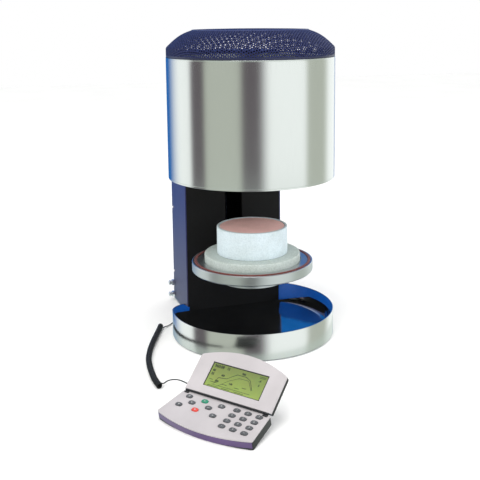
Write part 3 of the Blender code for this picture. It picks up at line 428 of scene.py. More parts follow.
def curlPoints(values):
    # the wire's own helix, wound round a line that lies along the floor
    height = values["curlHeight"] * mm
    line = smoothRoute([(x, y, height) for x, y in curlRoute], 0.001)
    along = np.append(0, np.cumsum(np.linalg.norm(np.diff(line, axis=0), axis=1)))
    count = int(values["turns"] * values["perTurn"])
    points = []
    for i in range(count + 1):
        s = along[-1] * i / count
        centre = np.array([np.interp(s, along, line[:, k]) for k in range(3)])
        ahead = np.array([np.interp(s + 0.001, along, line[:, k]) for k in range(3)])
        behind = np.array([np.interp(s - 0.001, along, line[:, k]) for k in range(3)])
        run = (ahead - behind) / np.linalg.norm(ahead - behind)
        side = np.array((run[1], -run[0], 0))
        turn = 2 * pi * values["turns"] * i / count - pi / 2
        arm = cos(turn) * side + sin(turn) * np.array((0, 0, 1))
        points.append(centre + values["turnRadius"] * mm * arm)
    return np.array(points)


def cordPath(values, plugIn):
    first = smoothRoute([values["gland"]] + kilnRoute, 0.003)
    curl = curlPoints(values)
    last = smoothRoute(handsetRoute + plugIn, 0.003)
    into = hermite(first[-1], (first[-1] - first[-2]) * 4, curl[0], (curl[1] - curl[0]) * 7, 10)
    out = hermite(curl[-1], (curl[-1] - curl[-2]) * 8, last[0], (last[1] - last[0]) * 5, 12)
    path = np.vstack([first, into, curl, out, last])
    return path + np.array((axisX, axisY, 0))


def sweep(bm, path, radius, sides):
    # a closed tube along a path, its section carried along without twist
    tangents = np.gradient(path, axis=0)
    tangents /= np.linalg.norm(tangents, axis=1)[:, None]
    side = np.cross(tangents[0], (0, 0, 1))
    rings = []
    for centre, run in zip(path, tangents):
        side = side - run * side.dot(run)
        side /= np.linalg.norm(side)
        up = np.cross(run, side)
        arms = [cos(2 * pi * k / sides) * side + sin(2 * pi * k / sides) * up for k in range(sides)]
        rings.append([bm.verts.new(centre + radius * arm) for arm in arms])
    for a, b in zip(rings, rings[1:]):
        for k in range(sides):
            bm.faces.new((a[k], a[(k + 1) % sides], b[(k + 1) % sides], b[k]))
    bm.faces.new(rings[0][::-1])
    bm.faces.new(rings[-1])
    bmesh.ops.recalc_face_normals(bm, faces=bm.faces)


# the handset's own directions: across along the hinge, up the deck to the hinge, out of the deck
handsetValues = {"hingeRise": 1.8, "lidOpen": 29.9, "plug": (-62.0, -9.0), "plugLength": 6.6, "cordLead": 8}


def frameMatrix(origin, across, up, out):
    turn = Matrix((across, up, out)).transposed().to_4x4()
    return Matrix.Translation(origin) @ turn


hinge = jointOf("display_tilt")
across = Vector(hinge["axis"]).normalized()
deckOut = -Vector(jointOf("key_0_press")["axis"]).normalized()
deckUp = deckOut.cross(across)
hingePlace = Vector(hinge["pos_m"])
deckFrame = frameMatrix(hingePlace - deckOut * handsetValues["hingeRise"] * mm, across, deckUp, deckOut)
lidTurn = radians(handsetValues["lidOpen"])
lidFrame = frameMatrix(hingePlace, across, deckUp * cos(lidTurn) + deckOut * sin(lidTurn),
                       deckOut * cos(lidTurn) - deckUp * sin(lidTurn))


def makeCord(values):
    x, drop = handsetValues["plug"]
    plugIn = []
    for lead in (handsetValues["cordLead"], 0):
        end = deckFrame @ Vector((x * mm, (handsetValues["plugLength"] + lead) * mm, drop * mm))
        plugIn.append(tuple(end - kilnPoint(0, 0)))
    path = cordPath(values, plugIn)
    length = float(np.linalg.norm(np.diff(path, axis=0), axis=1).sum())
    print("cord length", round(length, 4))
    bm = bmesh.new()
    sweep(bm, path, values["wire"] * mm, values["sides"])
    material = makePlastic("polyurethaneCordBlack", "#040405", "#08080A", 0.42)
    cord = meshPiece("handsetCord", bm, material, None, 60)
    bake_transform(cord)
    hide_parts("cord_tail_kiln", "cord_curl", "cord_tail_handset")
    return cord, path, length


def addNut(bm, face, middle, radius, depth):
    # a hexagon nut on the column's left side, in millimetres
    place = Matrix.Translation(face - Vector((middle * mm, 0, 0))) @ Matrix.Rotation(pi / 2, 4, "Y")
    bmesh.ops.create_cone(bm, cap_ends=True, segments=6, radius1=radius * mm, radius2=radius * mm,
                          depth=depth * mm, matrix=place)


def makeBoots(path):
    # moulded strain reliefs: a hexagon nut and a ribbed taper at the kiln, a plain taper at the handset
    black = makePlastic("nylonGlandBlack", "#121213", "#1C1C1E", 0.45)
    low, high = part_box("kiln_gland")
    face = Vector((high[0], (low[1] + high[1]) / 2, (low[2] + high[2]) / 2))
    bm = bmesh.new()
    length = (high[0] - low[0]) / mm
    taper = [(0, 0), (3.4, 0), (3.4, 5.6)]
    for i in range(6):
        h = 5.8 + (length - 5.8) * i / 6
        r = 3.1 - 1.5 * i / 6
        taper += [(r, h), (r, h + 0.55), (r - 0.45, h + 0.6), (r - 0.45, h + 0.95)]
    taper += [(1.5, length - 0.05), (0, length - 0.05)]
    lathe(bm, taper, face, 24, (-1, 0, 0))
    addNut(bm, face, 2.7, 4.5, 5)
    kilnBoot = meshPiece("kilnGlandBoot", bm, black, "kiln_body", 30)
    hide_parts("kiln_gland")
    bm = bmesh.new()
    x, drop = handsetValues["plug"]
    place = deckFrame @ Vector((x * mm, 0.35 * mm, drop * mm))
    profile = [(0, 0), (2.8, 0), (2.8, 1.2), (2.3, 1.5), (2.3, 3.0), (1.9, 3.2), (1.9, 4.2), (1.6, 4.4),
               (1.4, 5.9), (0, 5.9)]
    lathe(bm, profile, place, 24, deckUp)
    handsetBoot = meshPiece("handsetGlandBoot", bm, black, "handset", 30)
    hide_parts("handset_gland")
    return [kilnBoot, handsetBoot]


cord, cordLine, cordLength = makeCord(cordValues)
boots = makeBoots(cordLine)
print("cord laid")


# stage and light

stageValues = {"floor": ("#FAFAF9", "#FDFDFC"), "ambient": 1.04, "studio": 1.28, "lowSplit": (-15.5, -13.5),
               "turn": 17.5, "bounce": 0.6}
# panels round the set, in degrees from the camera's side: middle, half width, shade
studioPanels = {
    "leftSoftbox": (-101, 8, "white"), "leftFlag": (-77, 8, "flag"), "leftWall": (-40, 22, "wall"),
    "cameraFlag": (-1, 8, "flag"), "rightSoftbox": (50, 24, "white"), "rightWall": (98, 14, "wall"),
    "rimSoftbox": (143, 10, "white"), "blueDrape": (-165, 13, "drape"), "blueDrapeEnd": (172, 5, "drape"),
}
panelShades = {"white": "#F6FAF8", "flag": "#5E585C", "wall": "#B4B9AE", "drape": "#1560A8"}


def bandRamp(tree, turn):
    # every panel holds its shade across its width, and blends into the next one over the gap between them
    marks = []
    for middle, half, shade in studioPanels.values():
        marks += [(middle - half, shade), (middle + half, shade)]
    marks.sort()
    ramp = addNode(tree, "ShaderNodeValToRGB", links={"Fac": turn})
    elements = ramp.color_ramp.elements
    while len(elements) < len(marks):
        elements.new(0.5)
    for element, (angle, shade) in zip(elements, marks):
        element.position = (max(-180, min(180, angle)) + 180) / 360
        element.color = colour(panelShades[shade])
    ramp.color_ramp.interpolation = "EASE"
    return ramp.outputs["Color"]


def makeWorld(values):
    world = bpy.data.worlds.new("studio")
    scene.world = world
    world.use_nodes = True
    tree = world.node_tree
    tree.nodes.clear()
    place = addNode(tree, "ShaderNodeTexCoord").outputs["Generated"]
    turned = addNode(tree, "ShaderNodeMapping", {"Rotation": (0, 0, radians(values["turn"]))},
                     {"Vector": place})
    parts = addNode(tree, "ShaderNodeSeparateXYZ", links={"Vector": turned.outputs["Vector"]})
    back = addNode(tree, "ShaderNodeMath", {"operation": "MULTIPLY", 1: -1.0}, {0: parts.outputs["Y"]})
    angle = addNode(tree, "ShaderNodeMath", {"operation": "ARCTAN2"},
                    {0: parts.outputs["X"], 1: back.outputs["Value"]})
    turn = addNode(tree, "ShaderNodeMapRange", {"From Min": -pi, "From Max": pi},
                   {"Value": angle.outputs["Value"]})
    upper = bandRamp(tree, turn.outputs["Result"])
    # below the panels the pale floor shows through them
    bounce = addNode(tree, "ShaderNodeMix",
                     {"data_type": "RGBA", 0: values["bounce"], 7: colour("#BCC8C0")}, {6: upper})
    lower = bounce.outputs[2]
    low, high = (sin(radians(a)) for a in values["lowSplit"])
    rise = addNode(tree, "ShaderNodeMapRange", {"From Min": low, "From Max": high},
                   {"Value": parts.outputs["Z"]})
    bands = addNode(tree, "ShaderNodeMix", {"data_type": "RGBA"},
                    {0: rise.outputs["Result"], 6: lower, 7: upper})
    ceiling = addNode(tree, "ShaderNodeMapRange", {"From Min": 0.45, "From Max": 0.75},
                      {"Value": parts.outputs["Z"]})
    whole = addNode(tree, "ShaderNodeMix", {"data_type": "RGBA", 7: colour("#C8CCD0")},
                    {0: ceiling.outputs["Result"], 6: bands.outputs[2]})
    path = addNode(tree, "ShaderNodeLightPath")
    glossy = addNode(tree, "ShaderNodeBackground", {"Strength": values["studio"]},
                     {"Color": whole.outputs[2]})
    plain = addNode(tree, "ShaderNodeBackground", {"Color": (1, 1, 1, 1), "Strength": values["ambient"]})
    seen = addNode(tree, "ShaderNodeBackground", {"Color": (1, 1, 1, 1), "Strength": 1.0})
    first = addNode(tree, "ShaderNodeMixShader", links={0: path.outputs["Is Camera Ray"], 1: plain.outputs[0],
                                                        2: seen.outputs[0]})
    both = addNode(tree, "ShaderNodeMixShader", links={0: path.outputs["Is Glossy Ray"], 1: first.outputs[0],
                                                       2: glossy.outputs[0]})
    addNode(tree, "ShaderNodeOutputWorld", links={"Surface": both.outputs[0]})


def makeFloor(values):
    mesh = bpy.data.meshes.new("studioFloor")
    bm = bmesh.new()
    bmesh.ops.create_grid(bm, x_segments=1, y_segments=1, size=6)
    bm.to_mesh(mesh)
    bm.free()
    floor = bpy.data.objects.new("studioFloor", mesh)
    scene.collection.objects.link(floor)
    floor.visible_glossy = False
    floor.location.z = -0.0002
    material, tree, shader, place = newMaterial("paperSweep", {"Roughness": 0.9})
    tone = speckle(tree, place, 3, *(colour(shade) for shade in values["floor"]))[0]
    tree.links.new(tone, shader.inputs["Base Color"])
    mesh.materials.append(material)


lightAim = Vector((0, 0, 0.2))
lightValues = {      # place and size in metres, watts, colour
    "keySoftbox": ((-1.3, -1.5, 1.9), 1.4, 22, "#FFFDF8"),
    "fillSoftbox": ((1.6, -1.0, 1.3), 1.4, 10, "#F4F8FF"),
    "topSoftbox": ((-0.2, -0.3, 2.2), 0.9, 9, "#FFFFFF"),
}


def makeLight(name, place, size, energy, shade):
    light = bpy.data.lights.new(name, "AREA")
    light.size = size
    light.energy = energy
    light.color = colour(shade)[:3]
    holder = bpy.data.objects.new(name, light)
    scene.collection.objects.link(holder)
    holder.location = place
    holder.rotation_mode = "QUATERNION"
    holder.rotation_quaternion = (lightAim - Vector(place)).to_track_quat("-Z", "Y")
    holder.visible_glossy = name == "topSoftbox"


makeWorld(stageValues)
makeFloor(stageValues)
for name, values in lightValues.items():
    makeLight(name, *values)
print("stage lit")


# kiln head

headValues = {"bead": 0.9, "wall": 1.5, "pitch": 4.8, "holeShare": 0.62, "capWall": 1.0, "hem": 4.0,
              "capTop": 100.0, "capBand": 16.0}


def makeCasing(values):
    low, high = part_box("casing_shell")
    r, wall, bead = casingRadius / mm, values["wall"], values["bead"]
    bottom, top = low[2] / mm, high[2] / mm
    profile = filletLine([(r - wall, bottom + 12), (r - wall, bottom + 0.2), (r, bottom), (r, bottom + bead),
                          (r - 0.25, bottom + bead + 1.2), (r - 0.05, bottom + bead + 2.2),
                          (r - 0.05, top - 3.0), (r - 0.3, top - 2.2), (r, top - bead), (r, top),
                          (r - wall, top), (r - wall, top - 12)], 0.35)
    bm = bmesh.new()
    lathe(bm, profile, steps=192, closed=True)
    casing = meshPiece("casingSheet", bm, stainless, "kiln_body", 30)
    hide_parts("casing_shell")


def capShape(values):
    # radius and height along the dome from its middle outwards
    low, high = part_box("vent_cap")
    top, bottom = high[2] / mm, low[2] / mm
    r = casingRadius / mm - 0.5
    band = bottom + values["capBand"]
    line = [(0, top), (values["capTop"] * 0.5, top), (values["capTop"] * 0.86, top - 0.6)]
    steps = 12
    for i in range(steps + 1):
        t = 1 - i / steps
        line.append((r - (r - values["capTop"]) * t, band + (top - band - 2) * (t + 0.16 * sin(pi * t))))
    line.append((r, bottom))
    line = filletLine(line, 2.5, 4)
    radii, heights = (np.array([p[k] for p in line]) for k in (0, 1))
    along = np.append(0, np.cumsum(np.hypot(np.diff(radii), np.diff(heights))))
    return along, radii, heights


def startTree(name, inputs):
    # a Geometry Nodes tree with named inputs, and the sockets that hand them on
    tree = bpy.data.node_groups.new(name, "GeometryNodeTree")
    tree.interface.new_socket("Geometry", in_out="OUTPUT", socket_type="NodeSocketGeometry")
    for socket, kind in inputs.items():
        tree.interface.new_socket(socket, in_out="INPUT", socket_type="NodeSocket" + kind)
    return tree, addNode(tree, "NodeGroupInput").outputs


def endTree(tree, geometry, material):
    real = addNode(tree, "GeometryNodeRealizeInstances", links={"Geometry": geometry})
    painted = addNode(tree, "GeometryNodeSetMaterial", {"Material": material},
                      {"Geometry": real.outputs["Geometry"]})
    addNode(tree, "NodeGroupOutput", links={"Geometry": painted.outputs["Geometry"]})
    return tree


def perforatedTree(material):
    # a flat sheet of hexagon cells, each with a hexagon hole: offset rows, dual mesh, inset, centres removed
    inputs = dict.fromkeys(("Columns", "Rows"), "Int")
    inputs.update(dict.fromkeys(("Width", "Depth", "Row gap", "Half pitch", "Hole share", "Reach"), "Float"))
    tree, given = startTree("perforatedSheet", inputs)
    grid = addNode(tree, "GeometryNodeMeshGrid", links={
        "Size X": given["Width"], "Size Y": given["Depth"], "Vertices X": given["Columns"],
        "Vertices Y": given["Rows"]})
    place = addNode(tree, "GeometryNodeInputPosition").outputs[0]
    parts = addNode(tree, "ShaderNodeSeparateXYZ", links={"Vector": place})
    fromEdge = addNode(tree, "ShaderNodeMath", {"operation": "MULTIPLY_ADD", 1: 0.5},
                       {0: given["Depth"], 2: parts.outputs["Y"]})
    row = addNode(tree, "ShaderNodeMath", {"operation": "DIVIDE"},
                  {0: fromEdge.outputs[0], 1: given["Row gap"]})
    whole = addNode(tree, "ShaderNodeMath", {"operation": "ROUND"}, {0: row.outputs[0]})
    odd = addNode(tree, "ShaderNodeMath", {"operation": "MODULO", 1: 2.0}, {0: whole.outputs[0]})
    aside = addNode(tree, "ShaderNodeMath", {"operation": "MULTIPLY"},
                    {0: odd.outputs[0], 1: given["Half pitch"]})
    shift = addNode(tree, "ShaderNodeCombineXYZ", links={"X": aside.outputs[0]})
    moved = addNode(tree, "GeometryNodeSetPosition", links={"Geometry": grid.outputs["Mesh"],
                                                            "Offset": shift.outputs["Vector"]})
    cut = addNode(tree, "GeometryNodeTriangulate", {"quad_method": "SHORTEST_DIAGONAL"},
                  {"Mesh": moved.outputs["Geometry"]})
    dual = addNode(tree, "GeometryNodeDualMesh", links={"Mesh": cut.outputs["Mesh"]})
    raised = addNode(tree, "GeometryNodeExtrudeMesh",
                     {"mode": "FACES", "Offset Scale": 0.0, "Individual": True},
                     {"Mesh": dual.outputs[0]})
    inset = addNode(tree, "GeometryNodeScaleElements", {"domain": "FACE"},
                    {"Geometry": raised.outputs["Mesh"], "Selection": raised.outputs["Top"],
                     "Scale": given["Hole share"]})
    removed = addNode(tree, "GeometryNodeDeleteGeometry", {"domain": "FACE"},
                      {"Geometry": inset.outputs["Geometry"], "Selection": raised.outputs["Top"]})
    far = addNode(tree, "ShaderNodeVectorMath", {"operation": "LENGTH"}, {0: place})
    outside = addNode(tree, "FunctionNodeCompare", {"data_type": "FLOAT", "operation": "GREATER_THAN"},
                      {"A": far.outputs["Value"], "B": given["Reach"]})
    trimmed = addNode(tree, "GeometryNodeDeleteGeometry", {"domain": "FACE"},
                      {"Geometry": removed.outputs["Geometry"], "Selection": outside.outputs["Result"]})
    return endTree(tree, trimmed.outputs["Geometry"], material)


def runNodes(tree, settings, name, mesh=None):
    # evaluates a tree on a mesh, or on an empty one, and keeps only the plain mesh
    holder = bpy.data.objects.new(name, mesh or bpy.data.meshes.new(name))
    scene.collection.objects.link(holder)
    modifier = holder.modifiers.new("nodes", "NODES")
    modifier.node_group = tree
    sockets = {item.name: item.identifier for item in tree.interface.items_tree if item.in_out == "INPUT"}
    for socket, value in settings.items():
        modifier[sockets[socket]] = value
    depsgraph = bpy.context.evaluated_depsgraph_get()
    depsgraph.update()
    mesh = bpy.data.meshes.new_from_object(holder.evaluated_get(depsgraph))
    bpy.data.objects.remove(holder)
    return mesh


def makeCap(values):
    along, radii, heights = capShape(values)
    reach = (along[-1] - values["hem"] * 0.6) * mm
    pitch = values["pitch"] * mm
    rowGap = pitch * sqrt(3) / 2
    columns, rows = (int(2 * reach / gap) + 3 for gap in (pitch, rowGap))
    settings = {"Columns": columns, "Rows": rows, "Width": (columns - 1) * pitch,
                "Depth": (rows - 1) * rowGap, "Row gap": rowGap, "Half pitch": pitch / 2,
                "Hole share": values["holeShare"], "Reach": reach}
    mesh = runNodes(perforatedTree(capSheet), settings, "flatSheet")
    bm = bmesh.new()
    bm.from_mesh(mesh)
    bmesh.ops.remove_doubles(bm, verts=bm.verts, dist=0.00002)
    for vert in bm.verts:          # the flat sheet pressed to the dome, distances kept from its middle
        s = hypot(vert.co.x, vert.co.y) / mm
        r, h = np.interp(s, along, radii), np.interp(s, along, heights)
        share = r / s if s > 0.001 else 1
        vert.co = Vector((axisX + vert.co.x * share, axisY + vert.co.y * share, h * mm))
    bmesh.ops.recalc_face_normals(bm, faces=bm.faces)
    cap = meshPiece("perforatedCap", bm, capSheet, "kiln_body", 40)
    wall = cap.modifiers.new("wall", "SOLIDIFY")
    wall.thickness = values["capWall"] * mm
    wall.offset = -1
    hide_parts("vent_cap")
    print("cap faces", len(cap.data.polygons))
    makeHem(values, heights[-1])


def makeHem(values, bottom):
    r = casingRadius / mm - 0.5
    profile = filletLine([(r - 2.2, bottom + 0.1), (r, bottom + 0.1), (r + 0.05, bottom + values["hem"]),
                          (r - 2.2, bottom + values["hem"]), (r - 2.2, bottom + 2)], 0.6)
    bm = bmesh.new()
    lathe(bm, profile, steps=160, closed=True)
    meshPiece("capHem", bm, capHem, "kiln_body", 30)


def makeCapRim(values):
    # the turned-down edge of the flat top disc, in a lighter navy that is a painted highlight of blue reflected
    # light
    r, top = values["capTop"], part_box("vent_cap")[1][2] / mm
    profile = filletLine([(r - 1.6, top - 3.0), (r + 0.5, top - 2.8), (r + 0.3, top - 1.3),
                          (r - 2.0, top - 0.9),
                          (r - 2.0, top - 2.2)], 0.5)
    bm = bmesh.new()
    lathe(bm, profile, steps=160, closed=True)
    meshPiece("capTopEdge", bm, capRimPaintedHighlight, "kiln_body", 30)


makeCasing(headValues)
makeCap(headValues)
makeCapRim(headValues)
print("head made")

# base

baseValues = {"radius": 144.0, "wall": 2.0, "rim": 46.0, "low": 2.0, "end": 109.7, "corner": 6.0,
              "sweep": ((28.0, 46.0), (98.0, 30.0), (109.7, 18.0)), "steps": 220}


def rimHeight(values, x, y):
    # the band's top: level, swept down towards its left end, rounded off at its right end
    if x > 0:
        over = max(0.0, y - (values["end"] - values["corner"]))
        return values["rim"] - (values["corner"] - sqrt(max(0.0, values["corner"] ** 2 - over ** 2)))
    line = filletLine([(-200.0, values["rim"])] + list(values["sweep"]), 8.0, 6)
    return float(np.interp(y, [p[0] for p in line], [p[1] for p in line]))


def makeRing(values):
    outer, inner = values["radius"], values["radius"] - values["wall"]
    last = atan2(values["end"], sqrt(inner ** 2 - values["end"] ** 2))
    bm = bmesh.new()
    sections = []
    for i in range(values["steps"] + 1):
        turn = pi - last + (pi + 2 * last) * i / values["steps"]
        x, y = cos(turn), sin(turn)
        top = rimHeight(values, x, min(outer * y, values["end"]))
        section = [(outer, values["low"]), (outer, top - 0.5), (outer - 0.3, top - 0.05), (outer - 1.0, top),
                   (inner + 0.3, top - 0.05), (inner, top - 0.5), (inner, values["low"])]
        sections.append([bm.verts.new(kilnPoint(r * x, r * y, h)) for r, h in section])
    for a, b in zip(sections, sections[1:]):
        for k in range(len(a)):
            j = (k + 1) % len(a)
            face = bm.faces.new((a[k], b[k], b[j], a[j]))
            face.material_index = 1 if k == len(a) - 2 else 0
    bm.faces.new(sections[0][::-1])
    bm.faces.new(sections[-1])
    bmesh.ops.recalc_face_normals(bm, faces=bm.faces)
    ring = meshPiece("baseBand", bm, stainless, "kiln_body", 50)
    ring.data.materials.append(blueLining)
    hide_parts("base_ring")


# blue stoved enamel on the band's inner side
blueLining = makePowderCoat("blueStovedEnamel", "#1474EA", "#1A7CF4", 0.35, texture=2.0, clear=0.3)
makeRing(baseValues)
print("base made")


# plain nodes: the material of each, and how far its edges are softened in millimetres

nodeFinishes = {
    "furnace_vessel": (vesselSteel, 0.3), "insulation_block": (fibreBoard, 0.0),
    "heating_coil": (heatingWire, 0.0),
    "base_plate": (zincSteel, 0.2), "base_dish": (panSteel, 0.2), "foot_front_left": (blackRubber, 0.3),
    "foot_front_right": (blackRubber, 0.3), "foot_back_left": (blackRubber, 0.3),
    "foot_back_right": (blackRubber, 0.3),
    "column_cover": (navyEnamel, 0.0), "column_front": (blackEnamel, 0.2),
    "power_inlet": (blackShell, 0.0), "power_switch": (blackShell, 0.3),
    "lift_frame": (blackEnamel, 0.3), "guide_rod_left": (groundSteel, 0.3),
    "guide_rod_right": (groundSteel, 0.3),
    "lead_screw": (groundSteel, 0.2), "lift_motor": (darkSteel, 0.0), "carriage": (aluminium, 0.0),
    "lift_arm": (darkSteel, 0.0), "lift_plate": (aluminium, 0.3), "door_gasket": (sealRubber, 0.8),
    "insulation_disc": (fibreDisc, 0.6), "pedestal": (fibrePedestal, 0.5), "firing_tray": (trayClay, 0.3),
    "handset_deck": (whiteShell, 0.25), "display_frame": (whiteShell, 0.25),
    "display_back": (blackShell, 0.0),
}
finished = {node: refine(node, material, bevel * mm) for node, (material, bevel) in nodeFinishes.items()}
keyMaterials = {"key_start": keyGreen, "key_stop": keyRed}
for node in [name for name in frame["nodes"] if name.startswith("key_")]:
    finished[node] = refine(node, keyMaterials.get(node, keyGrey))
print("nodes finished", len(finished))


def paintLugs(deck):
    # the hinge lugs are black, like the lid's barrel between them
    deck.data.materials.append(blackShell)
    toDeck = deckFrame.inverted()
    for face in deck.data.polygons:
        if (toDeck @ face.center).z > 0.15 * mm:
            face.material_index = 1


paintLugs(finished["handset_deck"])


# repeated details: button-head screws, the screw's thread, ribs of the hose fittings

detailValues = {"headRadius": 2.2, "headHeight": 1.3, "socket": 0.5, "socketDepth": 0.9,
                "threadPitch": 4.0, "threadRadius": 0.42, "ribs": 3, "inset": 9, "sideInset": 12.6,
                "backRows": (22, 170, 330, 480), "sideRows": (60, 190, 270, 400), "inletInset": 3.4,
                "inletFace": 3.8}


def screwTree(material):
    # a button head on each point of the mesh handed in, turned to the point's own facing
    sizes = dict.fromkeys(("Radius", "Height", "Socket", "Socket depth"), "Float")
    tree, given = startTree("buttonScrews", {"Geometry": "Geometry", **sizes})
    head = addNode(tree, "GeometryNodeMeshCylinder", {"Vertices": 18},
                   {"Radius": given["Radius"], "Depth": given["Height"]})
    domed = addNode(tree, "GeometryNodeScaleElements", {"domain": "FACE", "Scale": 0.82},
                    {"Geometry": head.outputs["Mesh"], "Selection": head.outputs["Top"]})
    rim = addNode(tree, "GeometryNodeExtrudeMesh", {"mode": "FACES", "Offset Scale": 0.0},
                  {"Mesh": domed.outputs["Geometry"], "Selection": head.outputs["Top"]})
    mouth = addNode(tree, "GeometryNodeScaleElements", {"domain": "FACE"},
                    {"Geometry": rim.outputs["Mesh"], "Selection": rim.outputs["Top"],
                     "Scale": given["Socket"]})
    down = addNode(tree, "ShaderNodeMath", {"operation": "MULTIPLY", 1: -1.0}, {0: given["Socket depth"]})
    socket = addNode(tree, "GeometryNodeExtrudeMesh", {"mode": "FACES"},
                     {"Mesh": mouth.outputs["Geometry"], "Selection": rim.outputs["Top"],
                      "Offset Scale": down.outputs["Value"]})
    facing = addNode(tree, "GeometryNodeInputNamedAttribute", {"data_type": "FLOAT_VECTOR", "Name": "facing"})
    turn = addNode(tree, "FunctionNodeAlignRotationToVector", {"axis": "Z"},
                   {"Vector": facing.outputs["Attribute"]})
    copies = addNode(tree, "GeometryNodeInstanceOnPoints", links={
        "Points": given["Geometry"], "Instance": socket.outputs["Mesh"],
        "Rotation": turn.outputs["Rotation"]})
    return endTree(tree, copies.outputs["Instances"], material)


def threadTree(material):
    # a round ridge wound up a shaft
    sizes = dict.fromkeys(("Turns", "Radius", "Height", "Ridge"), "Float")
    tree, given = startTree("threadRidge", {**sizes, "Foot": "Vector"})
    spiral = addNode(tree, "GeometryNodeCurveSpiral", {"Resolution": 20}, {
        "Rotations": given["Turns"], "Start Radius": given["Radius"],
        "End Radius": given["Radius"], "Height": given["Height"]})
    section = addNode(tree, "GeometryNodeCurvePrimitiveCircle", {"Resolution": 6}, {"Radius": given["Ridge"]})
    ridge = addNode(tree, "GeometryNodeCurveToMesh", {"Fill Caps": True},
                    {"Curve": spiral.outputs["Curve"], "Profile Curve": section.outputs["Curve"]})
    placed = addNode(tree, "GeometryNodeTransform", links={"Geometry": ridge.outputs["Mesh"],
                                                           "Translation": given["Foot"]})
    return endTree(tree, placed.outputs["Geometry"], material)


def makeScrews(values):
    low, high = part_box("column_cover")
    inset, out = values["inset"] * mm, 0.35 * values["headHeight"] * mm
    sideY = high[1] - values["sideInset"] * mm
    places = []
    for z in values["backRows"]:
        for x in (low[0] + inset, high[0] - inset):
            places.append(((x, high[1] + out, z * mm), (0, 1, 0)))
    for z in values["sideRows"]:
        places.append(((low[0] - out, sideY, z * mm), (-1, 0, 0)))
        places.append(((high[0] + out, sideY, z * mm), (1, 0, 0)))
    inletLow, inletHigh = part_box("power_inlet")
    inletInset, faceY = values["inletInset"] * mm, high[1] + values["inletFace"] * mm + out
    for x in (inletLow[0] + inletInset, inletHigh[0] - inletInset):
        places.append(((x, faceY, (inletLow[2] + inletHigh[2]) / 2), (0, 1, 0)))
    mesh = bpy.data.meshes.new("screwPlaces")
    mesh.from_pydata([place for place, facing in places], [], [])
    facings = mesh.attributes.new("facing", "FLOAT_VECTOR", "POINT")
    for k, (place, facing) in enumerate(places):
        facings.data[k].vector = facing
    settings = {"Radius": values["headRadius"] * mm, "Height": values["headHeight"] * mm,
                "Socket": values["socket"], "Socket depth": values["socketDepth"] * mm}
    screws = runNodes(screwTree(navyEnamel), settings, "buttonScrews", mesh)
    plainPiece("buttonScrews", screws, "kiln_body")


def makeThread(values):
    low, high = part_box("lead_screw")
    length, margin = high[2] - low[2], 2 * mm
    radius = (high[0] - low[0]) / 2
    turns = (length - 2 * margin) / (values["threadPitch"] * mm)
    foot = Vector(((low[0] + high[0]) / 2, (low[1] + high[1]) / 2, low[2] + margin))
    settings = {"Turns": turns, "Radius": radius, "Height": length - 2 * margin,
                "Ridge": values["threadRadius"] * mm, "Foot": foot}
    thread = runNodes(threadTree(groundSteel), settings, "leadScrewThread")
    plainPiece("leadScrewThread", thread, "lead_screw")


def plainPiece(name, mesh, body):
    bm = bmesh.new()
    bm.from_mesh(mesh)
    bmesh.ops.remove_doubles(bm, verts=bm.verts, dist=0.000002)
    bmesh.ops.recalc_face_normals(bm, faces=bm.faces)
    return meshPiece(name, bm, mesh.materials[0], body, 30)


def makePorts(values):
    # chromed hose fittings: a hexagon nut, ribs for the hose and a domed cap
    for node in ("vacuum_port_upper", "vacuum_port_lower"):
        low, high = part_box(node)
        length, radius = (high[0] - low[0]) / mm, (high[2] - low[2]) / 2 / mm
        face = Vector((high[0], (low[1] + high[1]) / 2, (low[2] + high[2]) / 2))
        profile = [(0, 0.1), (radius * 0.6, 0.1), (radius * 0.6, 5.0)]
        for k in range(values["ribs"]):
            h = 5.2 + k * 1.1
            profile += [(radius * 0.52, h), (radius * 0.7, h + 0.3), (radius * 0.55, h + 0.9)]
        profile += [(radius * 0.74, 8.8), (radius * 0.76, length - 1.6), (radius * 0.62, length - 0.6),
                    (radius * 0.35, length - 0.12), (0, length - 0.02)]
        bm = bmesh.new()
        lathe(bm, profile, face, 28, (-1, 0, 0))
        addNut(bm, face, 3.1, radius, 5.4)
        piece = meshPiece(node + "Fitting", bm, chrome, "kiln_body", 30)
        softenEdges(piece, 0.25 * mm, 40)
        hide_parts(node)


def makeInletPins():
    # three flat contacts in the appliance inlet
    low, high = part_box("power_inlet")
    middle = (low[0] + high[0]) / 2 / mm, (low[2] + high[2]) / 2 / mm
    bm = bmesh.new()
    flat = Matrix(((1, 0, 0, 0), (0, 0, -1, 0), (0, 1, 0, 0), (0, 0, 0, 1)))
    for x, z in ((-7.0, -1.0), (0.0, 3.0), (7.0, -1.0)):
        pin = blockBar(middle[0] + x - 0.9, middle[1] + z - 2.2, 1.8, 4.4)
        addPrisms(bm, [pin], flat, -(low[1] / mm + 9.5), -(low[1] / mm + 3.2))
    bmesh.ops.recalc_face_normals(bm, faces=bm.faces)
    meshPiece("inletPins", bm, chrome, "kiln_body", 30)


# handset

shellValues = {"lowLip": 2.6, "backLip": -14.0}


def makeHandsetShell(values):
    # violet on the front faces and black on the sides, a painted shade on what is one moulding, with the shell
    # black all round below the lip line, in one shell
    bm = mergedCopy("handset_base")
    level = deckFrame @ Vector((0, 0, (values["backLip"] + values["lowLip"]) * mm))
    bmesh.ops.bisect_plane(bm, geom=bm.verts[:] + bm.edges[:] + bm.faces[:], plane_co=level, plane_no=deckOut)
    # front faces above the lip line take the violet; the sides take black as painted shade
    for face in bm.faces:
        below = (face.calc_center_median() - level).dot(deckOut) < 0
        front = face.normal.dot(-deckUp) > 0.75
        face.material_index = 0 if front and not below else 1
    shell = meshPiece("handsetShell", bm, violetShell, "handset", 35)
    shell.data.materials.append(blackShell)
    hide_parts("handset_base")


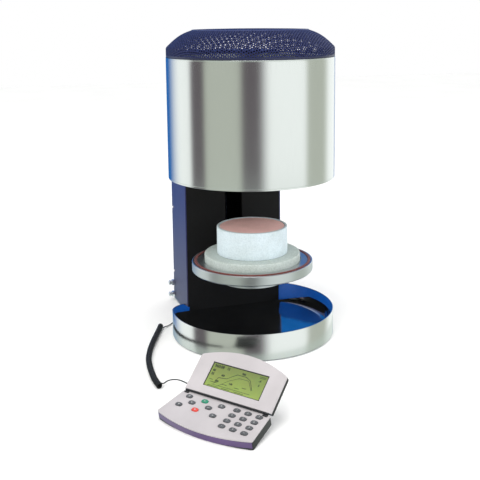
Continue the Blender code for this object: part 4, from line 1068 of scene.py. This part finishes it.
def addPrisms(bm, outlines, matrix, low, high):
    # flat outlines in millimetres raised between two heights
    for outline in outlines:
        base = [bm.verts.new(matrix @ Vector((x * mm, y * mm, low * mm))) for x, y in outline]
        top = [bm.verts.new(matrix @ Vector((x * mm, y * mm, high * mm))) for x, y in outline]
        bm.faces.new(base[::-1])
        bm.faces.new(top)
        for k in range(len(outline)):
            j = (k + 1) % len(outline)
            bm.faces.new((base[k], base[j], top[j], top[k]))


def addText(bm, text, size, matrix, x, y, low, high, bold=0.0):
    curve = bpy.data.curves.new("numeral", "FONT")
    curve.body = text
    curve.size = size * mm
    curve.align_x = "CENTER"
    curve.align_y = "CENTER"
    curve.resolution_u = 3
    curve.extrude = (high - low) / 2 * mm
    curve.offset = bold * mm
    holder = bpy.data.objects.new("numeral", curve)
    scene.collection.objects.link(holder)
    mesh = bpy.data.meshes.new_from_object(holder.evaluated_get(bpy.context.evaluated_depsgraph_get()))
    bpy.data.objects.remove(holder)
    mesh.transform(matrix @ Matrix.Translation((x * mm, y * mm, (low + high) / 2 * mm)))
    bm.from_mesh(mesh)
    bpy.data.meshes.remove(mesh)


def strokes(points, width):
    # a line drawn as short straight bars
    bars = []
    for a, b in zip(points, points[1:]):
        a, b = Vector(a), Vector(b)
        run = b - a
        side = Vector((-run.y, run.x)).normalized() * width / 2
        bars.append([tuple(corner) for corner in (a - side, b - side, b + side, a + side)])
    return bars


def blockBar(x, y, w, h):
    return [(x, y), (x + w, y), (x + w, y + h), (x, y + h)]


keyMarks = {      # outlines on the function keys, in millimetres about the key's middle
    "key_menu": [blockBar(-1.4, -1.3, 2.8, 0.5), blockBar(-1.4, -0.25, 2.8, 0.5),
                 blockBar(-1.4, 0.8, 2.8, 0.5)],
    "key_start": [[(-1.0, -1.3), (1.4, 0), (-1.0, 1.3)]],
    "key_night": [blockBar(-1.1, -1.1, 0.8, 2.2), blockBar(0.3, -1.1, 0.8, 2.2)],
    "key_up": [[(-1.5, -0.9), (1.5, -0.9), (0, 1.2)]],
    "key_enter": [[(-1.8, -0.3), (-0.4, -1.3), (-0.4, 0.7)], blockBar(-0.5, -0.55, 2.2, 0.5),
                  blockBar(1.3, -0.5, 0.5, 1.6)],
    "key_down": [[(-1.5, 0.9), (0, -1.2), (1.5, 0.9)]],
    "key_stop": [blockBar(-1.1, -1.1, 2.2, 2.2)],
    "key_back": [[(-1.5, 0), (0.3, -1.2), (0.3, 1.2)], blockBar(0.2, -0.25, 1.4, 0.5)],
    "key_minus": [blockBar(-1.3, -0.28, 2.6, 0.56)],
    "key_dot": [blockBar(-0.4, -0.4, 0.8, 0.8)],
}


def makeKeyMarks():
    for node in [name for name in frame["nodes"] if name.startswith("key_")]:
        corners = [deckFrame.inverted() @ v.co for v in frame["nodes"][node].data.vertices]
        low, high = (Vector([pick(c[k] for c in corners) for k in range(3)]) for pick in (min, max))
        x, y, top = (low.x + high.x) / 2 / mm, (low.y + high.y) / 2 / mm, high.z / mm
        place = deckFrame @ Matrix.Translation((x * mm, y * mm, top * mm))
        bm = bmesh.new()
        if node in keyMarks:
            addPrisms(bm, keyMarks[node], place, -0.02, 0.06)
        else:
            addText(bm, node[-1], 4.2, place, 0, 0, -0.02, 0.06)
        meshPiece(node + "Mark", bm, keyInk, bodyOf[node], 30)


screenValues = {"low": 13.7, "high": 51.6, "half": 48.7, "face": -0.9, "frame": 1.4}


def makeScreen(values):
    # a reflective liquid crystal panel in a black surround, partly the panel's black edge and partly a painted
    # shadow of its recess, with a firing curve and its figures
    refine("lcd_panel", lcdGlass)
    low, high, half, face = (values[k] for k in ("low", "high", "half", "face"))
    edge = values["frame"]
    # black surround: partly the panel's own black edge, partly painted shadow of the recess, narrower at the
    # bottom
    bm = bmesh.new()
    g = 0.35
    outer = [(-half + g, low + g), (half - g, low + g), (half - g, high - g), (-half + g, high - g)]
    inner = [(-half + edge, low + edge * 0.6), (half - edge, low + edge * 0.6), (half - edge, high - edge),
             (-half + edge, high - edge)]
    addPrisms(bm, [[outer[k], outer[(k + 1) % 4], inner[(k + 1) % 4], inner[k]] for k in range(4)],
              lidFrame, face + 0.02, face + 0.3)
    bmesh.ops.remove_doubles(bm, verts=bm.verts, dist=0.000005)
    meshPiece("screenSurround", bm, blackShell, "display", 30)
    bm = bmesh.new()
    curve = [(-33, 20), (-30, 30), (-16, 31.5), (-2, 41.5), (14, 41.5), (22, 38), (31, 25)]
    bars = strokes(curve, 0.7) + strokes([(-36, 18.5), (30, 18.5)], 0.5)
    bars += strokes([(-24, 19), (-10, 30), (4, 37), (20, 37), (30, 24)], 0.5)
    for x, y, w in ((34, 47.2, 10.5), (34, 45.4, 10.5), (35, 40, 3.2), (-44, 25, 7), (-40, 21.6, 12),
                    (-20, 21.8, 9),
                    (2, 21.6, 8), (14, 24.5, 7), (-43, 15.8, 20), (-18, 15.8, 14), (4, 15.8, 16)):
        bars.append(blockBar(x, y, w, 0.7))
    addPrisms(bm, bars, lidFrame, face, face + 0.05)
    for text, size, x, y in (("960:08", 6.2, -36, 46.2), ("12", 5.2, -20, 46.2), ("40", 5.0, -42, 39.2),
                             ("55", 5.0, -42, 33.6), ("960", 4.2, 8, 44.6), ("450", 4.0, -24, 34.6),
                             ("6", 4.0, 38, 41.5),
                             ("2:00", 3.6, -30, 24.5), ("1:30", 3.6, -6, 25.5), ("5", 4.0, 38, 34.5)):
        addText(bm, text, size, lidFrame, x, y, face, face + 0.05, 0.2)
    meshPiece("screenFigures", bm, lcdInk, "display", 30)


def makeLcdGlass():
    # yellow-green reflective display under a glossy front: a brighter, deeper green towards its lower edge and
    # darker towards its top, a painted gradient of light
    material, tree, shader, place = newMaterial("reflectiveLcdGreen", {"Roughness": 0.25, "Coat Weight": 0.6,
                                                                       "Coat Roughness": 0.08})
    low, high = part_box("lcd_panel")
    parts = addNode(tree, "ShaderNodeSeparateXYZ", links={"Vector": place})
    # painted light: brighter green at the panel's lower edge, darker at its top
    rise = addNode(tree, "ShaderNodeMapRange", {"From Min": low[2], "From Max": high[2]},
                   {"Value": parts.outputs["Z"]})
    tone = addNode(tree, "ShaderNodeMix", {"data_type": "RGBA", 6: colour("#8FA44A"), 7: colour("#6C7C3B")},
                   {0: rise.outputs["Result"]})
    cloud = addNode(tree, "ShaderNodeTexNoise", {"Scale": 60.0, "Detail": 3}, {"Vector": place})
    mix = addNode(tree, "ShaderNodeMix", {"data_type": "RGBA", "blend_type": "MULTIPLY", 0: 0.3},
                  {6: tone.outputs[2], 7: cloud.outputs["Color"]})
    tree.links.new(mix.outputs[2], shader.inputs["Base Color"])
    return material


makeScrews(detailValues)
makeThread(detailValues)
makePorts(detailValues)
makeInletPins()
print("details made")

lcdGlass = makeLcdGlass()
makeHandsetShell(shellValues)
makeKeyMarks()
makeScreen(screenValues)
print("handset made")
